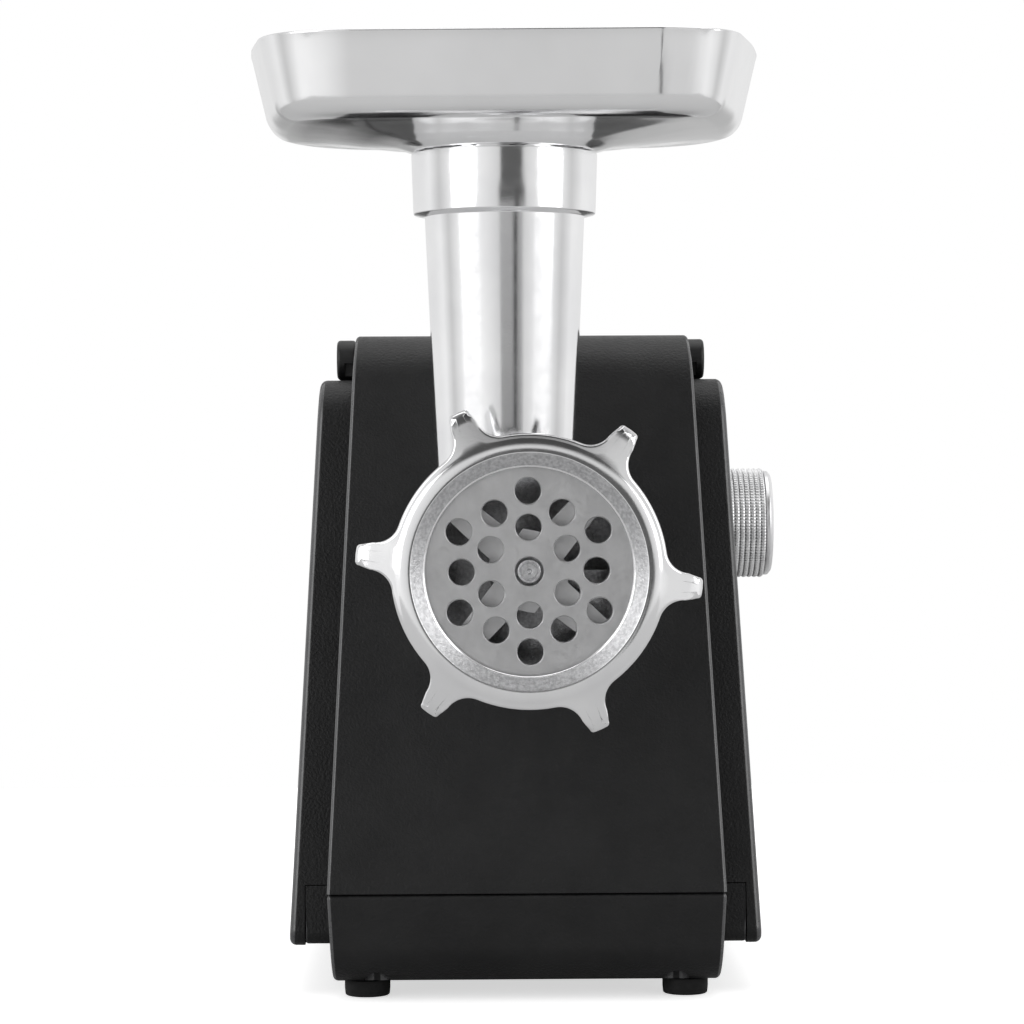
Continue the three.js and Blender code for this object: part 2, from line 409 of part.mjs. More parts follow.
// ---------------------------------------------------------------- grinding head
{
  const outer = turnY([[0, 6.2], [36.6, 6.2], [38.4, 8], [38.4, 21.5], [37.2, 22.5], [37.2, 60], [36, 76], [36, 79], [38.5, 80], [38.5, BARREL_END], [STUB_R, BARREL_END], [STUB_R, STUB_END], [0, STUB_END]], 32, AX, AZ);
  const tr = z => 23.35 + 0.0434 * (z - 199.4);
  const tube = turnZ([[0, 165], [tr(165), 165], [tr(COLLAR_Z0), COLLAR_Z0], [29.6, COLLAR_Z0], [30.25, COLLAR_Z1], [0, COLLAR_Z1]], 28, TUBE_X, TUBE_Y);
  let h = union(outer, tube);
  h = cut(h, turnY([[0, 4], [PLATE_R + 0.5, 4], [PLATE_R + 0.5, PLATE_Y + PLATE_T + GAP], [33.6, PLATE_Y + PLATE_T + GAP], [33.6, 18], [33, 20], [31, 80], [0, 80]], 32, AX, AZ));
  h = cut(h, rodY(12.3, 70, 95, 18, AX, AZ));
  h = cut(h, turnY([[0, 86], [24, 86], [29, 92], [29, 120], [0, 120]], 20, AX, AZ));
  h = cut(h, turnZ([[0, 150], [20, 150], [21.4, 262], [26.9, 263.5], [26.9, 290], [0, 290]], 28, TUBE_X, TUBE_Y));
  h = cut(h, box(-4.1, 4.1, 106.6, 130, AZ + STUB_R - 4.1, AZ + 40));     // keyway for the latch bolt
  add('head_casting', h, CAST);
}

add('auger_bush', tubeY(9.4, 12, 79, 87, 18, AX, AZ), NYLON);

// worm: tapering core with a two-and-a-half turn flight
{
  const y0 = 18.2, y1 = 78.5, N = 28, turns = 2.4;
  const pos = [], idx = [];
  for (let i = 0; i <= N; i++) {
    const t = i / N, y = y0 + 3.5 + (y1 - y0 - 8) * t, a = -t * turns * 2 * Math.PI;
    const ri = 9, ro = 32.2 - 1.9 * t - (i === 0 ? 3 : 0), c = Math.cos(a), s = Math.sin(a);
    for (const [r, dy] of [[ri, -3.2], [ro, -1.1], [ro, 1.1], [ri, 3.2]]) pos.push(AX + r * c, y + dy, AZ + r * s);
  }
  for (let i = 0; i < N; i++) for (let k = 0; k < 4; k++) {
    const a = i * 4 + k, b = i * 4 + (k + 1) % 4;
    idx.push(a, b, b + 4, a, b + 4, a + 4);
  }
  idx.push(0, 2, 1, 0, 3, 2);
  const e = N * 4;
  idx.push(e, e + 1, e + 2, e, e + 2, e + 3);
  const g = new THREE.BufferGeometry();
  g.setAttribute('position', new THREE.BufferAttribute(new Float32Array(pos), 3));
  g.setIndex(idx);
  const core = turnY([[0, 5.6], [3.75, 5.6], [3.75, 14], [0, 14]], 14, AX, AZ);
  const square = prismY(circle(AX, AZ, 7.4, 4, Math.PI / 4), PLATE_Y + PLATE_T + GAP, 18.4);
  const body = turnY([[0, 18.2], [11.5, 18.2], [12.5, 24], [16.5, 76], [16.5, 78.4], [9, 78.4], [9, 90], [0, 90]], 20, AX, AZ);
  add('auger_worm', union(body, g, square, core), CAST);
}
{
  // drive coupling: hexagonal socket that slips over the output shaft
  let d = solid(turnY([[0, 90.3], [13, 90.3], [15.5, 93], [15.5, 106], [14.5, 107], [0, 107]], 24, AX, AZ));
  d = cut(d, prismY(circle(AX, AZ, 8.2, 6), 93.4, 120));
  add('drive_coupling', d, GREY);
}
{
  // four-bladed knife on the square of the worm
  const out = [];
  for (let i = 0; i < 4; i++) {
    const a = i * Math.PI / 2 + 0.92, c = Math.cos(a), s = Math.sin(a);
    for (const [u, v] of [[9.5, -6.5], [32.2, -6.5], [32.6, 2.2], [12, 4.5], [9.5, 9.5]]) out.push([u * c - v * s, u * s + v * c]);
  }
  const k = prismY(out.map(([x, z]) => [AX + x, AZ + z]), PLATE_Y + PLATE_T + 0.4, PLATE_Y + PLATE_T + 4.6);
  add('knife', cut(k, prismY(circle(AX, AZ, 7.9, 4, Math.PI / 4), 0, 40)), STEEL);
}
{
  const holes = [circle(AX, AZ, 4.5, 14)];
  for (const [r, a0] of BOLT_CIRCLES) for (let k = 0; k < 6; k++) {
    const a = (a0 + 60 * k) * Math.PI / 180;
    holes.push(circle(AX + r * Math.cos(a), AZ + r * Math.sin(a), HOLE_R, 7, a));
  }
  add('grinding_plate', prismY(circle(AX, AZ, PLATE_R, 40), PLATE_Y, PLATE_Y + PLATE_T, holes), STEEL);
}
{
  // screw ring with six grip lugs
  let r = solid(turnY([[RING_OPEN, 3.4], [RING_EDGE, 0], [41, 0.6], [RING_R, 3.6], [RING_R, RING_D], [39, RING_D], [39, 5.4], [RING_OPEN, 5.4]], 40, AX, AZ));
  for (let k = 0; k < 6; k++) {
    const a = (LUG_A0 + 60 * k) * Math.PI / 180, c = Math.cos(a), s = Math.sin(a);
    const q = [[40.5, -9.5], [43.6, -7.2], [46.5, -4.6], [LUG_R - 0.6, -3.4], [LUG_R, -2.6], [LUG_R, 2.6], [LUG_R - 0.6, 3.4], [46.5, 4.6], [43.6, 7.2], [40.5, 9.5]];
    r = r.add(solid(prismY(q.map(([u, v]) => [AX + u * c - v * s, AZ + u * s + v * c]), 3.2, 13)));
  }
  add('screw_ring', r, CAST);
}

// ---------------------------------------------------------------- feed tray
{
  // all loops share one fan of angles about the tube axis: every corner of the plan, and fillers between
  const angles = rounded(TRAY_PLAN, 4).map(([x, y]) => Math.atan2(y, x)).sort((a, b) => a - b);
  const fan = [];
  angles.forEach((a, i) => {
    const b = i + 1 < angles.length ? angles[i + 1] : angles[0] + 2 * Math.PI, n = Math.ceil((b - a) / 0.16);
    for (let k = 0; k < n; k++) fan.push(a + (b - a) * k / n);
  });
  const ray = (poly, a) => {
    const c = Math.cos(a), s = Math.sin(a);
    let best = 0;
    poly.forEach(([x0, y0], i) => {
      const [x1, y1] = poly[(i + 1) % poly.length], ex = x1 - x0, ey = y1 - y0, det = ex * s - ey * c;
      if (Math.abs(det) < 1e-12) return;
      const t = (ex * y0 - ey * x0) / det, u = (c * y0 - s * x0) / det;
      if (t > 0 && u >= -1e-9 && u <= 1 + 1e-9) best = Math.max(best, t);
    });
    return best;
  };
  const plan = d => { const poly = rounded(inset(TRAY_PLAN, d), 4); return fan.map(a => ray(poly, a)); };
  const round = r => fan.map(() => r);
  const blend = (p, q, t) => p.map((v, i) => v + (q[i] - v) * t);
  const loops = [
    [round(26.5), 263.8], [round(26.5), COLLAR_Z1 + 0.2], [round(29.4), COLLAR_Z1 + 0.5],
    [blend(plan(12), round(29.4), 0.5), 282], [plan(12), 283.8], [plan(8.2), 284.9], [plan(5.8), 287.2], [plan(4.1), 290.6],
    [plan(0.15), TRAY_RIM - 0.7], [plan(0), TRAY_RIM - 0.3], [plan(0.5), TRAY_RIM], [plan(1.5), TRAY_RIM - 0.3], [plan(5.5), 290.9], [plan(7.1), 288.2], [plan(9.2), 286.2],
    [plan(12.6), 285.2], [blend(plan(12.6), round(27.5), 0.5), 283.6], [round(27.5), COLLAR_Z1 + 2.2], [round(24.6), COLLAR_Z1 + 1.0], [round(24.6), 263.8]];
  const pos = [], idx = [], M = loops.length, N = fan.length, ty = TRAY_YAW * Math.PI / 180;
  for (const [f, z] of loops) for (let i = 0; i < N; i++)
    pos.push(TUBE_X + f[i] * Math.cos(fan[i] + ty), TUBE_Y + f[i] * Math.sin(fan[i] + ty), z);
  for (let j = 0; j < M; j++) for (let i = 0; i < N; i++) {
    const a = j * N + i, b = j * N + (i + 1) % N, c = ((j + 1) % M) * N + (i + 1) % N, d = ((j + 1) % M) * N + i;
    idx.push(a, b, c, a, c, d);
  }
  const g = new THREE.BufferGeometry();
  g.setAttribute('position', new THREE.BufferAttribute(new Float32Array(pos), 3));
  g.setIndex(idx);
  add('hopper_tray', g, ALU);
}

group.position.set(SHIFT_X, SHIFT_Y, SHIFT_Z);
group.updateMatrixWorld(true);
export default group;
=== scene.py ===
"""Electric meat grinder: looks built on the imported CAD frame. Millimetres inside, metres in Blender."""

import json
import math

import bmesh
import bpy
from mathutils import Matrix, Vector


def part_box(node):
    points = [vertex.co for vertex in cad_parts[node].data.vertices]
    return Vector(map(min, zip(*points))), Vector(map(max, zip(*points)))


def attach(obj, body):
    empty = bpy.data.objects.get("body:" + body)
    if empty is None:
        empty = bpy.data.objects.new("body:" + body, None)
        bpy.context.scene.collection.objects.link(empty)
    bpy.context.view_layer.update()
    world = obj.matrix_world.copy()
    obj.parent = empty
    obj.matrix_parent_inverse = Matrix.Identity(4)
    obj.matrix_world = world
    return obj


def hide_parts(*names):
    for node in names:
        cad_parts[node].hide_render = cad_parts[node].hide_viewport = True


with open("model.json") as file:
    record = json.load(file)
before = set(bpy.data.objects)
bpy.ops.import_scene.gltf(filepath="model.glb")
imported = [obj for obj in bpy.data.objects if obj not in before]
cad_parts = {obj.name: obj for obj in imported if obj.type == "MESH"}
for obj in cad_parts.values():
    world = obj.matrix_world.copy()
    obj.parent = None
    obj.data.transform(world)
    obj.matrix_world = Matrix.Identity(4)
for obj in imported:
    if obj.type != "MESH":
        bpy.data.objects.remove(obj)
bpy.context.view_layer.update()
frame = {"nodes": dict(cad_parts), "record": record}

# ------------------------------------------------------------------ frame: design millimetres to row metres
_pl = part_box("grinding_plate")
SX = (_pl[0][0] + _pl[1][0]) / 2 * 1000.0
SY = _pl[0][1] * 1000.0 - 5.8
AX, AZ = 0.0, 145.0
SZ = (_pl[0][2] + _pl[1][2]) / 2 * 1000.0 - AZ


def M(x, y, z):
    return Vector(((x + SX) / 1000.0, (y + SY) / 1000.0, (z + SZ) / 1000.0))


# ------------------------------------------------------------------ camera
cam_data = bpy.data.cameras.new("camera")
cam = bpy.data.objects.new("camera", cam_data)
bpy.context.scene.collection.objects.link(cam)
cam_data.sensor_width = 36.0
cam_data.lens = 116.02
cam_data.clip_start, cam_data.clip_end = 0.05, 60.0
cam.matrix_world = (Matrix.Translation(M(-18.4, -1025.0, 173.6))
                    @ Matrix.Rotation(math.radians(-0.729), 4, "Z")
                    @ Matrix.Rotation(math.radians(90.0 - 0.556), 4, "X")
                    @ Matrix.Rotation(math.radians(-0.28), 4, "Z"))
bpy.context.scene.camera = cam


# ------------------------------------------------------------------ materials
def new_mat(name):
    m = bpy.data.materials.new(name)
    m.use_nodes = True
    nt = m.node_tree
    nt.nodes.clear()
    out = nt.nodes.new("ShaderNodeOutputMaterial")
    b = nt.nodes.new("ShaderNodeBsdfPrincipled")
    nt.links.new(b.outputs[0], out.inputs[0])
    return m, nt, b


def noise(nt, scale, detail=4.0, rough=0.6, stretch=(1, 1, 1)):
    tc = nt.nodes.new("ShaderNodeTexCoord")
    mp = nt.nodes.new("ShaderNodeMapping")
    mp.inputs["Scale"].default_value = stretch
    nt.links.new(tc.outputs["Object"], mp.inputs["Vector"])
    n = nt.nodes.new("ShaderNodeTexNoise")
    n.inputs["Scale"].default_value = scale
    n.inputs["Detail"].default_value = detail
    n.inputs["Roughness"].default_value = rough
    nt.links.new(mp.outputs[0], n.inputs["Vector"])
    return n.outputs["Fac"]


def ramp(nt, src, lo, hi, a=0.35, b=0.65):
    r = nt.nodes.new("ShaderNodeMapRange")
    r.inputs["From Min"].default_value = a
    r.inputs["From Max"].default_value = b
    r.inputs["To Min"].default_value = lo
    r.inputs["To Max"].default_value = hi
    nt.links.new(src, r.inputs["Value"])
    return r.outputs[0]


def mixcol(nt, fac, a, b):
    m = nt.nodes.new("ShaderNodeMix")
    m.data_type = "RGBA"
    m.inputs["A"].default_value = (*a, 1)
    m.inputs["B"].default_value = (*b, 1)
    nt.links.new(fac, m.inputs["Factor"])
    return m.outputs["Result"]


def bump(nt, height, strength, dist, prev=None):
    b = nt.nodes.new("ShaderNodeBump")
    b.inputs["Strength"].default_value = strength
    b.inputs["Distance"].default_value = dist
    nt.links.new(height, b.inputs["Height"])
    if prev is not None:
        nt.links.new(prev, b.inputs["Normal"])
    return b.outputs[0]


def material(name, dark, light, rough, metal=0.0, spec=0.5, grain=None, second=None, patch=60.0, coat=0.0, rspread=0.06):
    """dark/light: colour extremes; rough: mean roughness; grain: (scale, strength, distance[, stretch])."""
    m, nt, b = new_mat(name)
    b.inputs["Metallic"].default_value = metal
    b.inputs["Specular IOR Level"].default_value = spec
    if coat:
        b.inputs["Coat Weight"].default_value = coat
        b.inputs["Coat Roughness"].default_value = 0.2
    n1 = noise(nt, patch, 3.0, 0.55)
    nt.links.new(mixcol(nt, ramp(nt, n1, 0, 1), dark, light), b.inputs["Base Color"])
    n2 = noise(nt, patch * 7.0, 5.0, 0.6)
    nt.links.new(ramp(nt, n2, rough - rspread, rough + rspread), b.inputs["Roughness"])
    last = None
    for g in (second, grain):
        if g:
            h = noise(nt, g[0], 3.0, 0.6, g[3] if len(g) > 3 else (1, 1, 1))
            last = bump(nt, h, g[1], g[2], last)
    if last is not None:
        nt.links.new(last, b.inputs["Normal"])
    return m


MAT = {
    "black_plastic": material("black_plastic_grained", (0.0062, 0.0062, 0.0066), (0.0102, 0.0102, 0.0106), 0.40, 0.0, 0.36,
                              grain=(1100.0, 0.9, 0.0003), second=(1100.0, 0.08, 0.0001), patch=60.0, rspread=0.03),
    # edge material: its lighter base colour is a painted highlight, and the raised specular level reflects the lamps;
    # it goes on the small bevel faces so the edges show highlight lines
    "black_edge_highlight": material("black_plastic_painted_edge_highlight", (0.05, 0.05, 0.052), (0.075, 0.075, 0.078), 0.3, 0.0, 0.9,
                           grain=(2600.0, 0.2, 0.0001), patch=60.0),
    "handle_plastic": material("handle_plastic", (0.009, 0.009, 0.0095), (0.014, 0.014, 0.0145), 0.36, 0.0, 0.4,
                               grain=(2200.0, 0.22, 0.0001), patch=30.0),
    "rubber": material("rubber_matt", (0.012, 0.012, 0.012), (0.026, 0.026, 0.026), 0.75, 0.0, 0.25, grain=(1600.0, 0.4, 0.0002), patch=80.0),
    "cast_polished": material("cast_aluminium_polished", (0.86, 0.86, 0.87), (0.93, 0.93, 0.935), 0.11, 1.0, 0.5,
                              grain=(2600.0, 0.22, 0.00004), second=(60.0, 0.02, 0.0002), patch=40.0, rspread=0.03),
    "cast_turned": material("cast_aluminium_turned", (0.82, 0.82, 0.83), (0.92, 0.92, 0.925), 0.12, 1.0, 0.5,
                            grain=(900.0, 0.2, 0.00004, (0.05, 0.05, 6.0)), second=(2400.0, 0.10, 0.00004), patch=40.0, rspread=0.035),
    "cast_rough": material("cast_aluminium_grainy", (0.46, 0.46, 0.47), (0.66, 0.66, 0.67), 0.34, 1.0, 0.5,
                           grain=(1700.0, 0.75, 0.0002), second=(2600.0, 0.4, 0.0001), patch=900.0, rspread=0.08),
    "tray": material("tray_aluminium", (0.86, 0.86, 0.865), (0.93, 0.93, 0.935), 0.13, 1.0, 0.5,
                     grain=(2200.0, 0.14, 0.00004), second=(45.0, 0.02, 0.0003), patch=22.0, rspread=0.025),
    "steel": material("steel_turned", (0.46, 0.46, 0.47), (0.62, 0.62, 0.63), 0.3, 1.0, 0.5, grain=(1200.0, 0.2, 0.0001), patch=120.0),
    "plate_steel": material("plate_steel_satin", (0.59, 0.59, 0.595), (0.66, 0.66, 0.665), 0.40, 1.0, 0.5,
                            grain=(2600.0, 0.3, 0.0001), second=(500.0, 0.08, 0.0002), patch=150.0),
    "motor_iron": material("motor_iron", (0.10, 0.10, 0.105), (0.2, 0.2, 0.205), 0.5, 0.9, 0.5, grain=(900.0, 0.4, 0.0002, (1, 8, 1)), patch=100.0),
    "knob_chrome": material("knob_chrome", (0.84, 0.84, 0.85), (0.93, 0.93, 0.935), 0.34, 1.0, 0.5, grain=(2000.0, 0.15, 0.0001), patch=120.0),
    "nylon": material("nylon_natural", (0.62, 0.6, 0.53), (0.74, 0.72, 0.66), 0.45, 0.0, 0.4, grain=(900.0, 0.15, 0.0002), patch=60.0),
    "grey_plastic": material("dark_plastic", (0.02, 0.02, 0.021), (0.032, 0.032, 0.034), 0.4, 0.0, 0.4, grain=(2200.0, 0.25, 0.0001), patch=60.0),
    "copper": material("copper_winding", (0.46, 0.2, 0.08), (0.7, 0.36, 0.17), 0.3, 1.0, 0.5, grain=(500.0, 0.9, 0.0006, (8, 0.2, 8)), patch=90.0),
    "brass": material("brass_machined", (0.6, 0.44, 0.18), (0.76, 0.58, 0.28), 0.28, 1.0, 0.5, grain=(1200.0, 0.2, 0.0001), patch=90.0),
}
SLOT_MAT = {
    "black_plastic": "black_plastic", "rubber": "rubber", "cast_aluminium": "cast_rough", "tray_aluminium": "tray", "steel": "steel",
    "plate_steel": "plate_steel", "motor_iron": "motor_iron", "knob_chrome": "knob_chrome", "nylon": "nylon",
    "grey_plastic": "grey_plastic", "copper": "copper", "brass": "brass",
}
NODE_SLOT = {s["node"]: s["material_slot"] for s in frame["record"]["subparts"]}
for _name, _ob in frame["nodes"].items():
    _m = MAT[SLOT_MAT[NODE_SLOT[_name]]]
    if _name == "carry_handle":
        _m = MAT["handle_plastic"]
    if not _ob.material_slots:
        _ob.data.materials.append(_m)
    for _s in _ob.material_slots:
        _s.material = _m
BODY = {n: b for b, ns in frame["record"]["behaviour"]["bodies"].items() for n in ns}


# ------------------------------------------------------------------ mesh helpers (design millimetres)
def make(name, verts, faces):
    me = bpy.data.meshes.new(name)
    me.from_pydata([M(*v) for v in verts], [], faces)
    me.update()
    bm = bmesh.new()
    bm.from_mesh(me)
    bmesh.ops.remove_doubles(bm, verts=bm.verts, dist=1e-7)
    bmesh.ops.recalc_face_normals(bm, faces=bm.faces)
    bm.to_mesh(me)
    bm.free()
    ob = bpy.data.objects.new(name, me)
    bpy.context.scene.collection.objects.link(ob)
    return ob


def drop(ob):
    me = ob.data
    bpy.data.objects.remove(ob, do_unlink=True)
    bpy.data.meshes.remove(me)


def boolean(ob, tools, op="DIFFERENCE"):
    for t in tools:
        md = ob.modifiers.new("b", "BOOLEAN")
        md.operation = op
        md.solver = "EXACT"
        md.object = t
    bake(ob)
    for t in tools:
        drop(t)
    return ob


def bake(ob):
    bpy.context.view_layer.update()
    dg = bpy.context.evaluated_depsgraph_get()
    me = bpy.data.meshes.new_from_object(ob.evaluated_get(dg))
    old = ob.data
    ob.modifiers.clear()
    ob.data = me
    bpy.data.meshes.remove(old)
    return ob


def bevel_where(ob, width, test, segments=4, angle=30.0, skip=None):
    """bevels the sharp edges whose two ends (design mm) satisfy test"""
    bm = bmesh.new()
    bm.from_mesh(ob.data)
    bmesh.ops.dissolve_limit(bm, angle_limit=math.radians(0.4), verts=bm.verts, edges=bm.edges)
    bm.edges.ensure_lookup_table()
    pick = []
    for e in bm.edges:
        if len(e.link_faces) == 2 and e.calc_face_angle(0.0) > math.radians(angle):
            ps = [(v.co.x * 1000 - SX, v.co.y * 1000 - SY, v.co.z * 1000 - SZ) for v in e.verts]
            if all(test(*p) for p in ps) and not (skip and skip(ps)):
                pick.append(e)
    bmesh.ops.bevel(bm, geom=pick, offset=width / 1000.0, segments=segments, profile=0.5, affect="EDGES", clamp_overlap=True)
    bm.to_mesh(ob.data)
    bm.free()
    return ob


def finish_piece(ob, node, mat, angle=38.0, nodes=None, body=None, bevel=0.0, bseg=3, weighted=False):
    if bevel:
        md = ob.modifiers.new("edge", "BEVEL")
        md.width = bevel / 1000.0
        md.segments = bseg
        md.limit_method = "ANGLE"
        md.angle_limit = math.radians(35)
        md.use_clamp_overlap = True
        bake(ob)
    me = ob.data
    me.materials.clear()
    me.materials.append(MAT[mat] if isinstance(mat, str) else mat)
    for p in me.polygons:
        p.use_smooth = True
        p.material_index = 0
    me.set_sharp_from_angle(angle=math.radians(angle))
    if weighted:
        md = ob.modifiers.new("wn", "WEIGHTED_NORMAL")
        md.keep_sharp = True
        md.weight = 100
        md.thresh = 0.01
        bake(ob)
        me = ob.data
        groups, loopn = [], [Vector(cn.vector) for cn in me.corner_normals]
        for p in sorted(me.polygons, key=lambda q: -q.area):
            if p.area < 150e-6:
                break
            for g in groups:
                if g.angle(p.normal) < math.radians(1.7):
                    nn_ = g
                    break
            else:
                nn_ = p.normal.copy()
                groups.append(nn_)
            for li in p.loop_indices:
                loopn[li] = nn_
        me.normals_split_custom_set([tuple(q) for q in loopn])
        # black plastic pieces: their small forward-facing bevel faces take the lighter edge material, a painted
        # highlight along the edges
        if isinstance(mat, str) and mat == "black_plastic":
            me.materials.append(MAT["black_edge_highlight"])
            for p in me.polygons:
                q = p.normal
                if p.area < 150e-6 and q.y < -0.3 and 0.28 < abs(q.x) < 0.955:
                    p.material_index = 1
    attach(ob, body or BODY[node])
    names = nodes if nodes is not None else [node]
    if names:
        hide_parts(*names)
    return ob


def rounded(corners, seg=16, closed=True):
    out, n = [], len(corners)
    for i in range(n):
        x, y, r = corners[i]
        if not r or (not closed and i in (0, n - 1)):
            out.append((x, y))
            continue
        px, py = corners[i - 1][:2]
        nx, ny = corners[(i + 1) % n][:2]
        l1, l2 = math.hypot(px - x, py - y), math.hypot(nx - x, ny - y)
        d1, d2 = ((px - x) / l1, (py - y) / l1), ((nx - x) / l2, (ny - y) / l2)
        ang = math.acos(max(-1, min(1, d1[0] * d2[0] + d1[1] * d2[1])))
        if ang > math.pi - 1e-4:
            out.append((x, y))
            continue
        t = r / math.tan(ang / 2)
        bx, by = d1[0] + d2[0], d1[1] + d2[1]
        bl = math.hypot(bx, by)
        cx, cy = x + bx / bl * r / math.sin(ang / 2), y + by / bl * r / math.sin(ang / 2)
        a0 = math.atan2(y + d1[1] * t - cy, x + d1[0] * t - cx)
        a1 = math.atan2(y + d2[1] * t - cy, x + d2[0] * t - cx)
        while a1 - a0 > math.pi:
            a1 -= 2 * math.pi
        while a1 - a0 < -math.pi:
            a1 += 2 * math.pi
        for k in range(seg + 1):
            a = a0 + (a1 - a0) * k / seg
            out.append((cx + r * math.cos(a), cy + r * math.sin(a)))
    return out


def inset(corners, t):
    n, lines = len(corners), []
    for i in range(n):
        ax, ay = corners[i][:2]
        bx, by = corners[(i + 1) % n][:2]
        l = math.hypot(bx - ax, by - ay)
        d = ((bx - ax) / l, (by - ay) / l)
        lines.append(((ax - d[1] * t, ay + d[0] * t), d))
    out = []
    for i in range(n):
        (p, d), (q, e) = lines[i - 1], lines[i]
        det = d[0] * e[1] - d[1] * e[0]
        s = ((q[0] - p[0]) * e[1] - (q[1] - p[1]) * e[0]) / det
        r = corners[i][2]
        out.append([p[0] + d[0] * s, p[1] + d[1] * s, max(r - t, 1) if r else 0])
    return out


def prism_x(name, pts, f0, f1):
    """outline in (y, z) between x = f0(z) and x = f1(z)"""
    g0 = f0 if callable(f0) else (lambda z: f0)
    g1 = f1 if callable(f1) else (lambda z: f1)
    n = len(pts)
    v = [(g0(z), y, z) for y, z in pts] + [(g1(z), y, z) for y, z in pts]
    f = [list(range(n))[::-1], list(range(n, 2 * n))]
    f += [[i, (i + 1) % n, n + (i + 1) % n, n + i] for i in range(n)]
    return make(name, v, f)


def prism_y(name, pts, y0, y1):
    n = len(pts)
    v = [(x, y0, z) for x, z in pts] + [(x, y1, z) for x, z in pts]
    f = [list(range(n))[::-1], list(range(n, 2 * n))]
    f += [[i, (i + 1) % n, n + (i + 1) % n, n + i] for i in range(n)]
    return make(name, v, f)


def box(x0, x1, y0, y1, z0, z1):
    v = [(x, y, z) for x in (x0, x1) for y in (y0, y1) for z in (z0, z1)]
    f = [[0, 1, 3, 2], [4, 6, 7, 5], [0, 4, 5, 1], [2, 3, 7, 6], [0, 2, 6, 4], [1, 5, 7, 3]]
    return make("box", v, f)


def lathe(name, prof, n, axis, c, closed=False):
    """prof: (radius, station); c: the two other coordinates of the axis. closed joins the last profile point to the first."""
    v, rows = [], []
    for r, h in prof:
        if r < 1e-6:
            rows.append([len(v)] * n)
            pts = [(0.0, 0.0)]
        else:
            rows.append(list(range(len(v), len(v) + n)))
            pts = [(r * math.cos(2 * math.pi * i / n), r * math.sin(2 * math.pi * i / n)) for i in range(n)]
        for a, b in pts:
            v.append({"x": (h, c[0] + a, c[1] + b), "y": (c[0] + a, h, c[1] + b), "z": (c[0] + a, c[1] + b, h)}[axis])
    f, m = [], len(prof)
    for j in range(m if closed else m - 1):
        a, b = rows[j], rows[(j + 1) % m]
        for i in range(n):
            k = (i + 1) % n
            q = []
            for t in (a[i], a[k], b[k], b[i]):
                if t not in q:
                    q.append(t)
            if len(q) > 2:
                f.append(q)
    return make(name, v, f)


def rod(r, h0, h1, n, axis, c):
    return lathe("rod", [(0, h0), (r, h0), (r, h1), (0, h1)], n, axis, c)


def join(name, obs):
    bm = bmesh.new()
    for o in obs:
        bm.from_mesh(o.data)
    me = bpy.data.meshes.new(name)
    bm.to_mesh(me)
    bm.free()
    ob = bpy.data.objects.new(name, me)
    bpy.context.scene.collection.objects.link(ob)
    for o in obs:
        drop(o)
    return ob


# ------------------------------------------------------------------ shared shape functions
PART_Z, TOP_Z, REAR_Y, FRONT_Y, WALL, BASE_Z = 35.6, 224.0, 288.0, 75.0, 2.6, 4.8


def bandX(z):
    return 66.9 - 0.0485 * (z - PART_Z)


def coverX(z):
    return 79.9 - 0.0505 * (z - 33)


def frontY(z):
    return FRONT_Y + 0.1763 * (z - PART_Z)


# ------------------------------------------------------------------ housing
BAND = [[FRONT_Y, PART_Z, 0], [REAR_Y, PART_Z, 0], [286, 172, 22], [238, TOP_Z, 26], [frontY(TOP_Z), TOP_Z, 26]]
h = prism_x("housing_shell", rounded(BAND, 26), lambda z: -bandX(z), bandX)
bevel_where(h, 1.4, lambda x, y, z: True, 5, 50, lambda ps: all(q[2] < PART_Z + 0.05 for q in ps))
room = inset(BAND, WALL)
room[0][1] = room[1][1] = PART_Z - 1
boss = lathe("boss", rounded([(0, 86, 0), (41, 86, 1.2), (41, 115, 0), (0, 115, 0)], 5, False), 96, "y", (AX, AZ))
boolean(h, [boss], "UNION")
inner = prism_x("inner", rounded(room, 12), lambda z: -(bandX(z) - WALL), lambda z: bandX(z) - WALL)
boolean(h, [inner])
tub = lathe("t", [(38.1, 86.4), (40.9, 86.4), (40.9, 115), (38.1, 115)], 96, "y", (AX, AZ), True)
boolean(h, [tub], "UNION")
cage = boolean(box(-12.6, 12.6, 144, 160, 203.9, 222), [box(-11, 11, 140, 170, 205.3, 230)])
boolean(h, [cage, box(5.7, 8.3, 127, 135, 196.4, 222), box(-8.3, -5.7, 127, 135, 196.4, 222)], "UNION")
cutters = [rod(38.1, 80, 125, 96, "y", (AX, AZ)), box(-4.2, 4.2, 106.8, 116, 175, 188), rod(3.3, 190, 210, 16, "z", (0, 152)),
           rod(2.3, -12, 12, 16, "x", (131, 200)), box(-11, 11, 141, 163, 215, 230), rod(3.2, -80, 80, 24, "x", (163, 217)),
           rod(5.6, 40, 80, 24, "x", (190, 157.4)), rod(8.2, 275, 300, 32, "y", (-30, 62))]
cutters += [box(-33, 33, 270, 300, 96 + i * 9, 100 + i * 9) for i in range(6)]
boolean(h, cutters)
finish_piece(h, "upper_housing", "black_plastic", 30, weighted=True)

